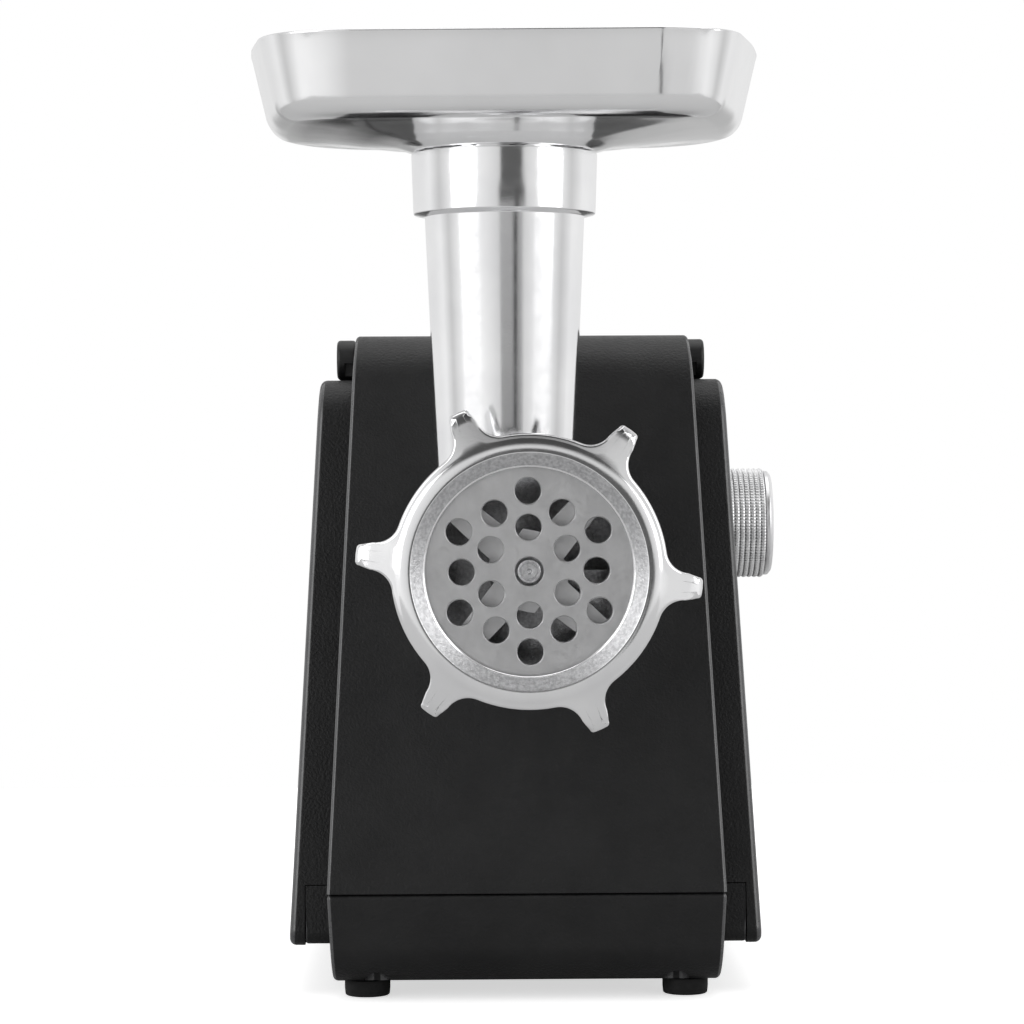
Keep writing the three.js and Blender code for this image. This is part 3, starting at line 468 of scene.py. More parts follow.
# side covers
COVER = [[frontY(14.8) + 27, 14.8, 5], [285, 14.8, 6], [281, 166, 20], [240, 209.2, 22], [frontY(209.2) + 27, 209.2, 18]]
for s, nm in ((-1, "left_side_cover"), (1, "right_side_cover")):
    c = prism_x(nm + "_skin", rounded(COVER, 20), lambda z: s * (bandX(z) + 0.3), lambda z: s * coverX(z))
    bevel_where(c, 2.4, lambda x, y, z: abs(abs(x) - coverX(z)) < 0.05, 6, 50)
    room = inset(COVER, WALL)
    room[0] = [frontY(PART_Z + WALL) + 27 + WALL, PART_Z + WALL, 0]
    room[1] = [282, PART_Z + WALL, 0]
    tools = [box(50 * s, 75.5 * s, 60, 320, 0, PART_Z),
             prism_x("r", rounded(room, 12), lambda z: s * (bandX(z) - 3), lambda z: s * (coverX(z) - WALL))]
    if s > 0:
        tools.append(rod(5.6, 40, 90, 24, "x", (190, 157.4)))
    boolean(c, tools)
    finish_piece(c, nm, "black_plastic", 30, weighted=True)

# base
top = PART_Z - 0.3
B = [[FRONT_Y + 1.5, BASE_Z, 14], [284, BASE_Z, 12], [REAR_Y, top, 0], [FRONT_Y, top, 0]]


def taper(z):
    return 66.9 - 1.7 * max(0.0, (top - z) / (top - BASE_Z))


b = prism_x("base_shell", rounded(B, 20), lambda z: -taper(z), taper)
bevel_where(b, 1.6, lambda x, y, z: z < top + 1 and abs(abs(x) - taper(z)) < 0.05, 5, 50)
W = [[frontY(15.4) + 27, 15.4, 4], [281, 15.4, 4], [283, top, 0], [frontY(top) + 27, top, 0]]
wing = prism_x("wing", rounded(W, 8), -75.2, 75.2)
bevel_where(wing, 0.9, lambda x, y, z: z < top - 0.1, 3, 50)
boolean(b, [wing], "UNION")
R = inset(B, WALL)
R[2][1] = R[3][1] = PART_Z + 5
cut = [prism_x("r", rounded(R, 12), -(66.9 - 1.7 - WALL), 66.9 - 1.7 - WALL)]
for s in (-1, 1):
    r = rounded([[102.5, 18, 2], [278, 18, 2], [280, 40, 0], [106, 40, 0]], 5)
    cut.append(prism_x("w", r, 67.3 * s, 72.8 * s))
cut += [box(-26, 26, 196 + i * 11, 201 + i * 11, 0, 12) for i in range(5)]
boolean(b, cut)
wells = [(x, y) for x in (-50.5, 50.5) for y in (84.3, 274.6)]
posts = join("posts", [rod(6.2, 7.2, 33, 40, "z", w) for w in wells])
trim = prism_x("trim", rounded(inset(B, 0.4), 20), -(66.9 - 2.4), 66.9 - 2.4)
boolean(posts, [trim], "INTERSECT")
boolean(b, [posts], "UNION")
boolean(b, [join("h", [rod(4.1, -2, 17, 48, "z", w) for w in wells]), join("i", [rod(1.9, 5, 40, 20, "z", w) for w in wells])])
finish_piece(b, "base_casing", "black_plastic", 30, weighted=True)

for nm in ("foot_front_left", "foot_front_right", "foot_rear_left", "foot_rear_right"):
    lo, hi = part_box(nm)
    cx, cy = (lo[0] + hi[0]) / 2 * 1000 - SX, (lo[1] + hi[1]) / 2 * 1000 - SY
    prof = rounded([(0, -1.0, 0), (4.6, -1.0, 0.3), (5.0, -0.1, 0.3), (5.8, -0.1, 0.3), (6.2, -1.0, 0.3), (7.5, -1.0, 0.7), (7.75, 1.6, 0.4), (7.75, 4.5, 0.3), (0, 4.5, 0)], 4, False)
    finish_piece(lathe(nm + "_rubber", prof, 64, "z", (cx, cy)), nm, "rubber", 40)

# handle
xi = bandX(217) + 0.8
xo = xi + 6.9
A = [[155.6, 209.8, 7], [256, 209.8, 8], [271, 211.3, 6], [271, 223, 6], [254, 224, 8], [155.6, 224, 7]]
arms = []
for s in (-1, 1):
    arm = prism_x("arm", rounded(A, 16), xi * s, xo * s)
    bevel_where(arm, 1.3, lambda x, y, z: True, 5, 50)
    arms.append(arm)
hd = arms[0]
boolean(hd, [arms[1]], "UNION")
grip = prism_x("grip", rounded([[254, 210.8, 5], [270.6, 211.8, 5], [270.6, 222.6, 5], [254, 223.6, 5]], 12), -xo + 1, xo - 1)
boolean(hd, [grip], "UNION")
boolean(hd, [rod(3.3, -80, 80, 32, "x", (163, 217)), box(-xi - 4.1, -xi + 1, 150, 158.6, 209, 215.6), box(xi - 1, xi + 4.1, 150, 158.6, 209, 215.6)])
finish_piece(hd, "carry_handle", "handle_plastic", 32, weighted=True)

# release button with three finger grooves
rb = box(-10.4, 10.4, 141.6, 162.4, 217, 227)
bevel_where(rb, 1.4, lambda x, y, z: z > 226.9, 5, 50)
ridges = [lathe("rd", rounded([(0, -7.2, 0), (0.9, -7.2, 0.5), (0.9, 7.2, 0.5), (0, 7.2, 0)], 3, False), 16, "x", (y, 226.4)) for y in (147.5, 152, 156.5)]
boolean(rb, [rod(2.6, 203.6, 218, 24, "z", (0, 152))], "UNION")
boolean(rb, [lathe("dish", [(0, -7.6), (1.1, -7.6), (1.1, 7.6), (0, 7.6)], 20, "x", (y, 227.4)) for y in (147.5, 152, 156.5)])
boolean(rb, [lathe("cup", [(4.0, 216), (6.1, 216), (6.1, 222.2), (4.0, 222.2)], 32, "z", (0, 152), True)])
for r_ in ridges:
    drop(r_)
finish_piece(rb, "release_button", "grey_plastic", 35, weighted=True)

# ------------------------------------------------------------------ switch knob with a cut knurl
KY, KZ, KR = 190.0, 157.4, 20.0


def knurled():
    na, nx, sub = 104, 7, 4
    A_, X_ = na * sub, nx * sub
    x0, x1 = 75.5, 89.0
    v, f = [], []
    for j in range(X_ + 1):
        x = x0 + (x1 - x0) * j / X_
        u = abs((j % sub) / sub - 0.5) * 2 if j not in (0, X_) else 1.0
        for i in range(A_):
            w = abs((i % sub) / sub - 0.5) * 2
            d = max(u, w)
            r = KR - 0.42 * (d ** 1.6) if d > 0.35 else KR
            if j in (0, X_):
                r = KR - 0.5
            a = 2 * math.pi * i / A_
            v.append((x, KY + r * math.cos(a), KZ + r * math.sin(a)))
    for j in range(X_):
        for i in range(A_):
            k = (i + 1) % A_
            f.append([j * A_ + i, j * A_ + k, (j + 1) * A_ + k, (j + 1) * A_ + i])
    f.append(list(range(A_)))
    f.append(list(range(X_ * A_, (X_ + 1) * A_))[::-1])
    return make("knob_knurl", v, f)


kn = knurled()
boolean(kn, [rod(4.2, 74.5, 86.5, 32, "x", (KY, KZ))])
finish_piece(kn, "knob_grip", "knob_chrome", 24)
prof = rounded([(0, 89.3, 0), (19.1, 89.3, 0.3), (19.1, 90.8, 0.9), (17.6, 92.0, 0.8), (15.6, 91.5, 0.6), (0, 91.3, 0)], 6, False)
finish_piece(lathe("knob_face_disc", prof, 128, "x", (KY, KZ)), "knob_bezel", "knob_chrome", 40)

# ------------------------------------------------------------------ grinding head
TX, TY = -6.7, 50.0


def tr(z):
    return 23.35 + 0.0434 * (z - 199.4)


NT = 160
barrel = lathe("barrel", rounded([(0, 6.2, 0), (36.6, 6.2, 0.3), (38.4, 8, 0.4), (38.4, 21.5, 0.3), (37.2, 22.7, 0.4), (37.2, 60, 6), (36, 76, 2), (36, 79.2, 0.6),
                                  (38.5, 80.2, 0.6), (38.5, 85.6, 0.8), (32.6, 85.6, 0.8), (32.6, 114, 0.8), (0, 114, 0)], 6, False), NT, "y", (AX, AZ))
tube = lathe("tube", rounded([(0, 160, 0), (tr(160), 160, 0), (tr(259.2), 259.2, 0.5), (29.6, 259.9, 0.5), (30.25, 279.5, 0.5), (0, 279.8, 0)], 6, False), NT, "z", (TX, TY))
boolean(barrel, [tube], "UNION")
bore = lathe("bore", [(0, 4), (35.5, 4), (35.5, 13.1), (33.6, 13.1), (33.6, 18), (33, 20), (31, 80), (0, 80)], NT, "y", (AX, AZ))
bores = [bore, rod(12.3, 70, 95, 48, "y", (AX, AZ)), lathe("rear", [(0, 86), (24, 86), (29, 92), (29, 120), (0, 120)], 64, "y", (AX, AZ)),
         lathe("throat", [(0, 150), (20, 150), (21.4, 262), (26.9, 263.5), (26.9, 290), (0, 290)], NT, "z", (TX, TY)),
         box(-4.1, 4.1, 106.6, 130, AZ + 28.5, AZ + 40)]
boolean(barrel, bores)


def fillet(f=5.5, n=200, k=10):
    """cast fillet where the tube meets the barrel: a strip tangent to both"""
    v, fc = [], []
    rb_ = 37.2
    for i in range(n):
        a = 2 * math.pi * i / n
        ca, sa = math.cos(a), math.sin(a)

        def zb(x):
            return AZ + math.sqrt(max(rb_ * rb_ - x * x, 0.0))

        r0 = tr(182)
        cx, cy = TX + r0 * ca, TY + r0 * sa
        zc = zb(cx)
        lean = math.atan2(abs(cx), zc - AZ) * (1 if cx * ca > 0 else -1)
        up = f * (1 + 0.35 * lean)
        pa = Vector((TX + tr(zc + up) * ca, TY + tr(zc + up) * sa, zc + up))
        out = f * math.cos(lean) if cx * ca > 0 else f
        bx, by = cx + out * ca, cy + out * sa
        by = max(by, 22.7)
        pb = Vector((bx, by, zb(bx) + 0.02))
        pc = Vector((cx, cy, zc))
        for j in range(k + 1):
            t = j / k
            p = pa * (1 - t) ** 2 + pc * (2 * t * (1 - t)) + pb * t ** 2
            v.append((p.x, p.y, p.z))
    m = k + 1
    for i in range(n):
        q = (i + 1) % n
        for j in range(k):
            fc.append([i * m + j, q * m + j, q * m + j + 1, i * m + j + 1])
    return make("fillet", v, fc)


head = join("head_body", [barrel, fillet()])
finish_piece(head, "head_casting", "cast_polished", 35)

# ------------------------------------------------------------------ screw ring with six lugs
LUG_A0, RR = 54.1, 43.2


def ring():
    # plan outline (x, z about the axis), sampled finely, with concave root fillets and parallel lug sides
    pts, tipw = [], []

    def lug(side_pts, ang):
        c, s = math.cos(ang), math.sin(ang)
        for u, w, t in side_pts:
            pts.append((u * c - w * s, u * s + w * c))
            tipw.append(t)

    half = []
    # local lug half outline from the root to the tip: (radial u, tangential w, tip weight)
    r_f, w_t, tip = 7.6, 3.35, 54.4
    w_r = 4.35
    # fillet centre: distance r_f outside the ring circle and from the side line
    cw = w_r + r_f
    cu = math.sqrt((RR + r_f) ** 2 - cw ** 2)
    a_start = math.atan2(cw, cu)
    p0 = (cu - r_f * math.cos(a_start), cw - r_f * math.sin(a_start))
    b0 = math.atan2(p0[1] - cw, p0[0] - cu)
    b1 = -math.pi / 2
    for k in range(13):
        bb = b0 + (b1 + (0 if b0 < 0 else 2 * math.pi) - b0) * k / 12 if b0 < 0 else b0 + ((3 * math.pi / 2) - b0) * k / 12
        half.append((cu + r_f * math.cos(bb), cw + r_f * math.sin(bb), 0.0))
    u_s = half[-1][0]
    for k in range(1, 9):
        t = k / 8
        half.append((u_s + (tip - 1.4 - u_s) * t, w_r + (w_t - w_r) * t, max(0.0, (t - 0.6) / 0.4)))
    for k in range(1, 7):
        a = math.pi / 2 * k / 6
        half.append((tip - 1.4 + 1.4 * math.sin(a), w_t - 1.4 + 1.4 * math.cos(a), 1.0))
    half.append((tip + 0.05, (w_t - 1.4) * 0.5, 1.0))
    half.append((tip + 0.1, 0.0, 1.0))
    first = math.atan2(half[0][1], half[0][0])
    for i in range(6):
        ang = math.radians(LUG_A0 + 60 * i)
        lo = [(u, -w, t) for u, w, t in half]
        hi = [(u, w, t) for u, w, t in half[::-1][1:]]
        lug(lo + hi, ang)
        a0, a1 = ang + first, ang + math.radians(60) - first
        nn = 26
        for k in range(1, nn):
            a = a0 + (a1 - a0) * k / nn
            pts.append((RR * math.cos(a), RR * math.sin(a)))
            tipw.append(0.0)
    n = len(pts)
    nor = []
    for i in range(n):
        ax_, az_ = pts[i - 1]
        bx_, bz_ = pts[(i + 1) % n]
        dx, dz = bx_ - ax_, bz_ - az_
        l = math.hypot(dx, dz)
        nor.append((dz / l, -dx / l))
    v, f = [], []
    rows = []

    def row(fn):
        rows.append(len(v))
        for i in range(n):
            v.append(fn(i))

    def polar(i):
        x, z = pts[i]
        r = math.hypot(x, z)
        return x / r, z / r, r

    def circ(r, y):
        def g(i):
            cx, cz, _ = polar(i)
            return (AX + cx * r, y, AZ + cz * r)
        return g

    def off(d, y):
        def g(i):
            x, z = pts[i]
            dd = d(i)
            return (AX + x - nor[i][0] * dd, y(i), AZ + z - nor[i][1] * dd)
        return g

    # inside edge, conical mouth, crown, shoulder
    for r, y in [(32.5, 5.4), (32.5, 4.05), (32.56, 3.75), (32.72, 3.52), (32.95, 3.38), (33.15, 3.22)]:
        row(circ(r, y))
    for k in range(1, 7):
        t = k / 7
        row(circ(33.15 + (37.0 - 33.15) * t, 3.22 + (0.25 - 3.22) * t))
    for r, y in [(37.12, 0.17), (37.22, 0.12), (37.35, 0.11), (38.0, 0.13), (38.8, 0.24), (39.6, 0.4), (40.4, 0.63), (41.0, 0.87), (41.5, 1.1)]:
        row(circ(r, y))
    lugness = [min(1.0, max(0.0, (polar(i)[2] - RR) / 2.0)) for i in range(n)]
    # the face runs on into the lugs; bevelled rim and tip facets
    def face(i, inset_, drop_):
        rr = polar(i)[2] - inset_
        return 1.1 + 0.27 * (rr - 41.5) + drop_ if rr > 41.5 else 1.1 + drop_

    in_row = off(lambda i: 0.75 + 1.5 * tipw[i], lambda i: 0.0)
    for t in (0.2, 0.4, 0.6, 0.8, 1.0):
        def blend(i, t=t):
            a, b_ = circ(41.5, 0)(i), in_row(i)
            x, z = a[0] + (b_[0] - a[0]) * t, a[2] + (b_[2] - a[2]) * t
            return (x, 1.1 + 0.27 * max(0.0, math.hypot(x - AX, z - AZ) - 41.5), z)
        row(blend)
    row(off(lambda i: 0.42 + 0.8 * tipw[i], lambda i: face(i, 0.42, 0.07 + 0.12 * tipw[i])))
    row(off(lambda i: 0.18 + 0.35 * tipw[i], lambda i: face(i, 0.18, 0.28 + 0.2 * tipw[i])))
    row(off(lambda i: 0.05 + 0.1 * tipw[i], lambda i: face(i, 0.05, 0.65 + 0.25 * tipw[i])))
    row(off(lambda i: 0.0, lambda i: face(i, 0.0, 1.15 + 0.4 * tipw[i])))
    row(off(lambda i: 0.0, lambda i: 8.0))
    row(off(lambda i: 0.0, lambda i: 12.2))
    row(off(lambda i: 0.15, lambda i: 12.7))
    row(off(lambda i: 0.6 * lugness[i], lambda i: 13.0 if lugness[i] > 0 else 13.1))
    for r, y in [(43.25, 13.2), (43.2, 13.6), (43.2, 22.8), (43.0, 23.6), (42.6, 24.0), (39.4, 24.0), (39.0, 23.6), (39.0, 5.4)]:
        row(circ(r, y))
    m = len(rows)
    for j in range(m):
        a, b_ = rows[j], rows[(j + 1) % m]
        for i in range(n):
            k = (i + 1) % n
            f.append([a + i, a + k, b_ + k, b_ + i])
    return make("screw_ring_lugged", v, f)


rg = ring()
finish_piece(rg, "screw_ring", "cast_polished", 40)
rg.data.materials.append(MAT["cast_rough"])
for p in rg.data.polygons:
    c = p.center
    r = math.hypot(c.x * 1000 - SX - AX, c.z * 1000 - SZ - AZ)
    y = c.y * 1000 - SY
    if 33.1 < r < 37.1 and y < 3.5:
        p.material_index = 1

# ------------------------------------------------------------------ hole plate, pin and worm
ROT = math.radians(0.6)
plate = lathe("plate_disc", rounded([(0, 5.8, 0), (35, 5.8, 0.3), (35, 12.8, 0.3), (0, 12.8, 0)], 3, False), 128, "y", (AX, AZ))
holes = []
for r, a0 in ((13.8, 30), (21.15, 0), (25.2, 30)):
    for k in range(6):
        a = math.radians(a0 + 60 * k) + ROT
        holes.append(lathe("h", [(0, 4), (4.45, 4), (4.45, 5.8), (4.1, 6.15), (4.1, 15), (0, 15)], 56, "y", (AX + r * math.cos(a), AZ + r * math.sin(a))))
holes.append(lathe("h", [(0, 4), (4.8, 4), (4.8, 5.8), (4.5, 6.1), (4.5, 15), (0, 15)], 56, "y", (AX, AZ)))
boolean(plate, [join("holes", holes)])
finish_piece(plate, "grinding_plate", "plate_steel", 30, weighted=True)


def worm():
    y0, y1, n, turns = 18.2, 78.5, 260, 2.4
    sec = [(9, -3.2, 0), (20, -2.3, 1), (0, -1.35, 2), (0, -0.8, 3), (0, 0.8, 3), (0, 1.35, 2), (20, 2.3, 1), (9, 3.2, 0)]
    v, f = [], []
    for i in range(n + 1):
        t = i / n
        y = y0 + 3.5 + (y1 - y0 - 8) * t
        a = -t * turns * 2 * math.pi
        lead = min(1.0, t / 0.04)
        ro = 32.2 - 1.9 * t - 3.0 * (1 - lead)
        for r, dy, k in sec:
            rr = r if k < 2 else (ro - 0.7 if k == 2 else ro)
            v.append((AX + rr * math.cos(a), y + dy, AZ + rr * math.sin(a)))
    m = len(sec)
    for i in range(n):
        for k in range(m):
            a, b_ = i * m + k, i * m + (k + 1) % m
            f.append([a, b_, b_ + m, a + m])
    f.append(list(range(m)))
    f.append(list(range(n * m, n * m + m))[::-1])
    flight = make("flight", v, f)
    core = lathe("core", rounded([(0, 18.2, 0), (11.5, 18.2, 1), (12.5, 24, 2), (16.5, 76, 1), (16.5, 78.4, 0.5), (9, 78.4, 0.3), (9, 90, 0.5), (0, 90, 0)], 5, False), 64, "y", (AX, AZ))
    sq = [(AX + 7.4 * math.cos(math.pi / 4 + k * math.pi / 2), AZ + 7.4 * math.sin(math.pi / 4 + k * math.pi / 2)) for k in range(4)]
    square = prism_y("sq", sq, 13.1, 18.4)
    pin = lathe("pin", rounded([(0, 6.5, 0), (0.55, 6.35, 0.1), (0.95, 5.75, 0.15), (2.35, 5.62, 0.1), (2.5, 5.95, 0.08), (2.8, 5.95, 0.08), (2.95, 5.62, 0.1), (3.5, 5.66, 0.2), (3.75, 6.0, 0.2), (3.75, 14, 0), (0, 14, 0)], 4, False), 72, "y", (AX, AZ))
    return join("auger_screw", [flight, core, square, pin])


finish_piece(worm(), "auger_worm", "cast_rough", 35)


# ------------------------------------------------------------------ feed tray
def tray():
    PLAN = [[-50, -68.55, 40], [50, -68.55, 10], [72.6, -62.9, 20], [79.8, -24, 160], [82.8, 4, 160], [80.5, 53, 44],
            [-80.5, 53, 44], [-82.8, 4, 160], [-79.8, -24, 160], [-72.6, -62.9, 26]]
    angs = sorted(math.atan2(y, x) for x, y in rounded(PLAN, 12))
    fan = []
    for i, a in enumerate(angs):
        b_ = angs[i + 1] if i + 1 < len(angs) else angs[0] + 2 * math.pi
        n = max(1, math.ceil((b_ - a) / 0.026))
        fan += [a + (b_ - a) * k / n for k in range(n)]

    def plan(d):
        poly = rounded(inset(PLAN, d), 12)
        out = []
        for a in fan:
            c, s = math.cos(a), math.sin(a)
            best = 0.0
            for i in range(len(poly)):
                x0, y0 = poly[i]
                x1, y1 = poly[(i + 1) % len(poly)]
                ex, ey = x1 - x0, y1 - y0
                det = ex * s - ey * c
                if abs(det) < 1e-12:
                    continue
                t = (ex * y0 - ey * x0) / det
                u = (c * y0 - s * x0) / det
                if t > 0 and -1e-9 <= u <= 1 + 1e-9:
                    best = max(best, t)
            out.append(best)
        return out

    # cross-section: (inset d or round radius, z); rounded with real fillets, then swept round the plan
    ring_r = 29.7
    sec = [("r", 26.5, 263.8), ("r", 26.5, 279.95), ("r", 29.75, 279.95), ("r", 29.9, 280.1), ("b", 0.85, 282.0), ("b", 0.6, 283.15), ("b", 0.35, 284.35), ("b", 0.12, 285.3)]
    for k in range(11):                                  # outer floor-to-wall curve
        a = math.radians(-84 + 74 * k / 10)
        sec.append(("p", 12.6 - 8.2 * math.cos(a) - 0.0, 293.5 + 8.2 * math.sin(a)))
    wall0 = sec[-1]
    for k in range(1, 8):
        t = k / 8
        sec.append(("p", wall0[1] + (0.2 - wall0[1]) * t, wall0[2] + (310.6 - wall0[2]) * t))
    for d, z in [(0.12, 310.7), (0.0, 311.05), (0.12, 311.3), (0.45, 311.48), (0.8, 311.5), (1.2, 311.42), (1.5, 311.2), (1.62, 310.9)]:
        sec.append(("p", d, z))
    in0 = ("p", 12.9 - 6.9 * math.cos(math.radians(-10)), 293.7 + 6.9 * math.sin(math.radians(-10)))
    for k in range(1, 8):
        t = k / 8
        sec.append(("p", 1.62 + (in0[1] - 1.62) * t, 310.9 + (in0[2] - 310.9) * t))
    for k in range(11):
        a = math.radians(-10 - 80 * k / 10)
        sec.append(("p", 12.9 - 6.9 * math.cos(a), 293.7 + 6.9 * math.sin(a)))
    sec += [("c", 0.3, 285.7), ("c", 0.6, 284.4), ("c", 0.85, 283.3), ("r", 27.6, 282.0), ("r", 26.2, 281.6), ("r", 24.9, 281.0), ("r", 24.6, 280.2), ("r", 24.6, 263.8)]
    base, base_in = plan(12.6), plan(12.9)
    v, f, ty = [], [], math.radians(-2)
    cache = {}
    for kind, a, z in sec:
        if kind == "r":
            row = [a] * len(fan)
        elif kind == "b":
            row = [q + (ring_r - q) * a for q in base]
        elif kind == "c":
            row = [q + (27.6 - q) * a for q in base_in]
        else:
            row = cache.setdefault(round(a, 5), plan(a))
        for q, an in zip(row, fan):
            v.append((TX + q * math.cos(an + ty), TY + q * math.sin(an + ty), z))
    n, m = len(fan), len(sec)
    for j in range(m):
        for i in range(n):
            k = (i + 1) % n
            f.append([j * n + i, j * n + k, ((j + 1) % m) * n + k, ((j + 1) % m) * n + i])
    return make("feed_tray_pan", v, f)


finish_piece(tray(), "hopper_tray", "tray", 45)

# cord gland at the back, a sleeve with a rounded flange cap
prof = [(3.6, 279.2), (7.9, 279.2), (7.9, 289), (10.2, 289.0), (10.5, 289.4), (10.5, 290.4), (10.1, 290.9), (9.4, 291.3), (8.6, 291.95), (6.2, 292.0), (5.6, 291.6), (3.6, 291.6)]
finish_piece(lathe("cord_gland_moulded", prof, 64, "y", (-30, 62), True), "cord_gland", "rubber", 35)

# ------------------------------------------------------------------ studio
W_ = bpy.data.worlds.new("studio")
bpy.context.scene.world = W_
W_.use_nodes = True
nt = W_.node_tree
nt.nodes.clear()
out = nt.nodes.new("ShaderNodeOutputWorld")
bg = nt.nodes.new("ShaderNodeBackground")
tc = nt.nodes.new("ShaderNodeTexCoord")
sp = nt.nodes.new("ShaderNodeSeparateXYZ")
nt.links.new(tc.outputs["Generated"], sp.inputs[0])


def math_node(op, a, b=None, c=None):
    n = nt.nodes.new("ShaderNodeMath")
    n.operation = op
    for i, q in enumerate((a, b, c)):
        if q is None:
            continue
        if isinstance(q, (int, float)):
            n.inputs[i].default_value = q
        else:
            nt.links.new(q, n.inputs[i])
    return n.outputs[0]


neg_y = math_node("MULTIPLY", sp.outputs[1], -1.0)
az = math_node("ARCTAN2", sp.outputs[0], neg_y)               # 0 towards the front, positive to the right
az01 = math_node("MULTIPLY_ADD", az, 1 / (2 * math.pi), 0.5)


def ramp_of(src, stops, span):
    r = nt.nodes.new("ShaderNodeValToRGB")
    nt.links.new(src, r.inputs[0])
    el = r.color_ramp.elements
    while len(el) > 1:
        el.remove(el[0])
    for i, (d, g) in enumerate(stops):
        q = (d + span) / (2 * span)
        e = el[0] if i == 0 else el.new(q)
        e.position = q
        e.color = (g, g, g, 1)
    return r.outputs[0]


el01 = math_node("MULTIPLY_ADD", math_node("ARCSINE", sp.outputs[2]), 1 / math.pi, 0.5)
# soft boxes left and right of the camera, dimmer corners at the sides, pale walls behind
walls = ramp_of(az01, [(-180, 0.8), (-125, 0.84), (-108, 0.92), (-90, 0.62), (-66, 1.0), (-44, 1.0), (-22, 0.82), (-8, 0.68), (6, 0.66), (24, 0.66),
                       (44, 0.88), (62, 0.96), (78, 0.84), (92, 0.62), (115, 0.9), (180, 0.8)], 180)
heights = ramp_of(el01, [(-90, 0.3), (-50, 0.3), (-38, 0.3), (-27, 0.85), (-15, 1.0), (24, 1.0), (60, 0.7), (90, 0.6)], 90)
# the dark gap beside the camera, and the unlit ceiling in front
gap_az = ramp_of(az01, [(-6, 0), (-4.4, 1), (21, 1), (23, 0)], 180)
gap_el = ramp_of(el01, [(0.0, 0), (0.25, 1), (13, 1), (18, 0)], 90)
wide_az = ramp_of(az01, [(-8.5, 0), (-6.5, 1), (24, 1), (26.5, 0)], 180)
wide_el = ramp_of(el01, [(-9, 0), (-7, 0.45), (-4.5, 0.45), (-3.8, 0.95), (0.0, 0.95), (0.25, 0)], 90)
line_az = ramp_of(az01, [(11, 0), (13, 1), (17, 1), (19, 0)], 180)
line_el = ramp_of(el01, [(-27, 0), (-22, 0.75), (-8, 0.9), (-4.4, 0.9), (-3.8, 0)], 90)
back_az = ramp_of(az01, [(-180, 1), (-176.8, 1), (-175.6, 0.55), (-160, 0.55), (-130, 0), (130, 0), (160, 0.45), (176.7, 0.45), (177.9, 1), (180, 1)], 180)
back_el = ramp_of(el01, [(-24, 0), (-17, 0.95), (-7, 0.95), (-2, 0)], 90)
ceil_az = ramp_of(az01, [(-70, 0), (-30, 1), (36, 1), (75, 0)], 180)
ceil_el = ramp_of(el01, [(24, 0), (34, 1), (62, 1), (68, 0)], 90)
dark1 = math_node("MULTIPLY_ADD", math_node("MULTIPLY", gap_az, gap_el), -0.84, 1.0)
dark2 = math_node("MULTIPLY_ADD", math_node("MULTIPLY", ceil_az, ceil_el), -0.88, 1.0)
dark3 = math_node("MULTIPLY_ADD", math_node("MULTIPLY", wide_az, wide_el), -0.9, 1.0)
dark4 = math_node("MULTIPLY_ADD", math_node("MULTIPLY", line_az, line_el), -0.9, 1.0)
dark5 = math_node("MULTIPLY_ADD", math_node("MULTIPLY", back_az, back_el), -1.0, 1.0)
dark6 = math_node("MULTIPLY", math_node("MULTIPLY", dark3, dark4), dark5)
level = math_node("MULTIPLY", math_node("MULTIPLY", math_node("MULTIPLY", walls, heights), math_node("MULTIPLY", dark1, dark2)), dark6)
mx = nt.nodes.new("ShaderNodeCombineColor")
for _i in range(3):
    nt.links.new(level, mx.inputs[_i])
lp = nt.nodes.new("ShaderNodeLightPath")
m2 = nt.nodes.new("ShaderNodeMix")
m2.data_type = "RGBA"
m2.inputs["B"].default_value = (1, 1, 1, 1)
nt.links.new(lp.outputs["Is Camera Ray"], m2.inputs["Factor"])
nt.links.new(mx.outputs[0], m2.inputs["A"])
nt.links.new(m2.outputs["Result"], bg.inputs["Color"])
bg.inputs["Strength"].default_value = 1.0
nt.links.new(bg.outputs[0], out.inputs[0])

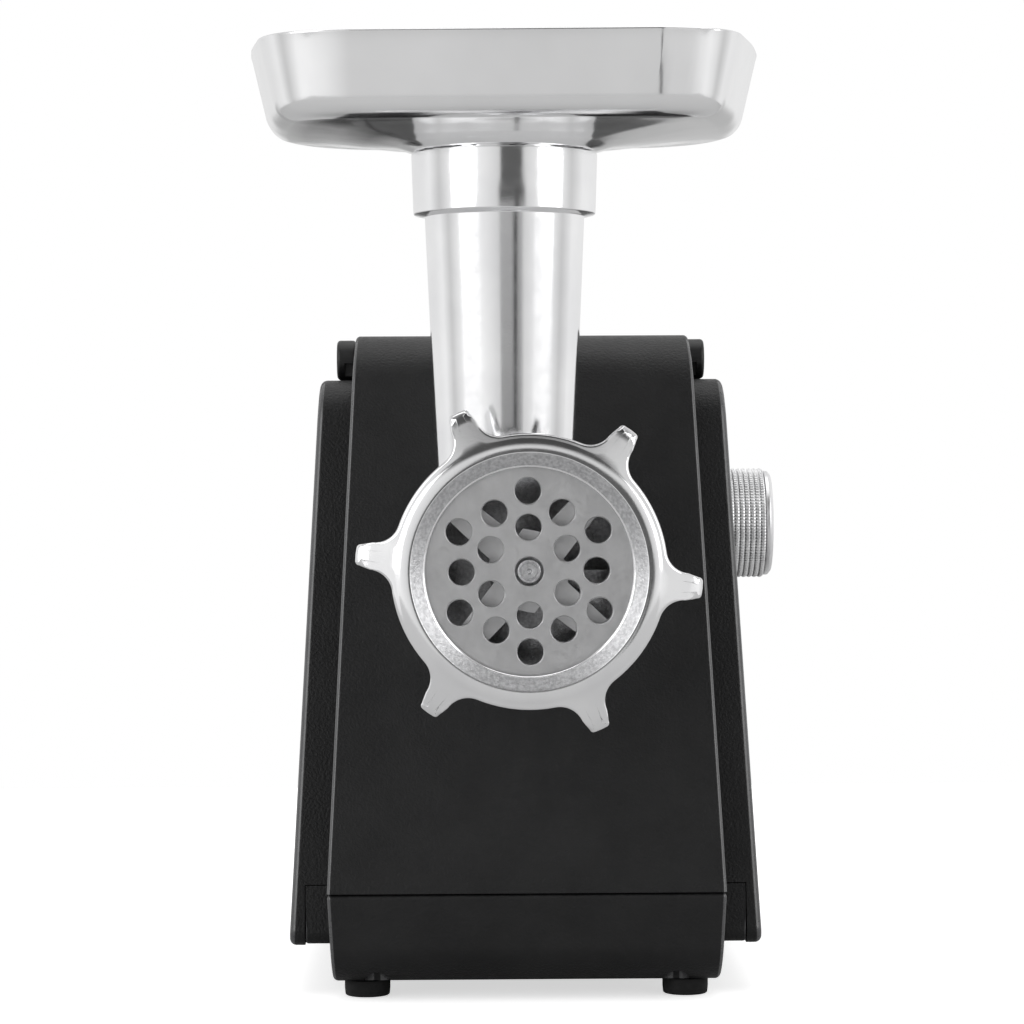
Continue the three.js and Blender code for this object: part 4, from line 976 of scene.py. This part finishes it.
# pale floor
fl = bpy.data.meshes.new("floor")
S = 0.72
fl.from_pydata([(-S, -S, 0), (S, -S, 0), (S, S, 0), (-S, S, 0)], [], [(0, 1, 2, 3)])
floor = bpy.data.objects.new("floor", fl)
floor.location.z = -0.0002
bpy.context.scene.collection.objects.link(floor)
fm = bpy.data.materials.new("floor_pale")
fm.use_nodes = True
nt = fm.node_tree
nt.nodes.clear()
o_ = nt.nodes.new("ShaderNodeOutputMaterial")
lp = nt.nodes.new("ShaderNodeLightPath")
d1 = nt.nodes.new("ShaderNodeBsdfDiffuse")
d1.inputs["Color"].default_value = (0.6, 0.6, 0.6, 1)
d2 = nt.nodes.new("ShaderNodeBsdfDiffuse")
d2.inputs["Color"].default_value = (0.92, 0.92, 0.92, 1)
em = nt.nodes.new("ShaderNodeEmission")
em.inputs["Color"].default_value = (1, 1, 1, 1)
em.inputs["Strength"].default_value = 0.62
ad = nt.nodes.new("ShaderNodeAddShader")
nt.links.new(d2.outputs[0], ad.inputs[0])
nt.links.new(em.outputs[0], ad.inputs[1])
ms = nt.nodes.new("ShaderNodeMixShader")
nt.links.new(lp.outputs["Is Camera Ray"], ms.inputs[0])
nt.links.new(d1.outputs[0], ms.inputs[1])
nt.links.new(ad.outputs[0], ms.inputs[2])
nt.links.new(ms.outputs[0], o_.inputs[0])
fl.materials.append(fm)


def area(name, loc, target, size, power):
    l = bpy.data.lights.new(name, "AREA")
    l.energy = power
    l.shape = "RECTANGLE"
    l.size, l.size_y = size
    o = bpy.data.objects.new(name, l)
    o.location = loc
    o.rotation_euler = (Vector(target) - Vector(loc)).to_track_quat("-Z", "Y").to_euler()
    bpy.context.scene.collection.objects.link(o)
    return o


area("soft_left", (-1.1, -0.9, 0.7), (0, 0, 0.15), (0.9, 1.2), 5.0)
area("soft_right", (1.2, -0.8, 0.7), (0, 0, 0.15), (0.9, 1.2), 5.0)
area("soft_top", (0.0, 0.1, 1.5), (0, 0, 0.1), (1.4, 1.4), 6.0)

sc = bpy.context.scene
sc.view_settings.view_transform = "Standard"
sc.view_settings.look = "None"
sc.view_settings.exposure = 0.0
sc.view_settings.gamma = 1.0

bpy.context.view_layer.update()
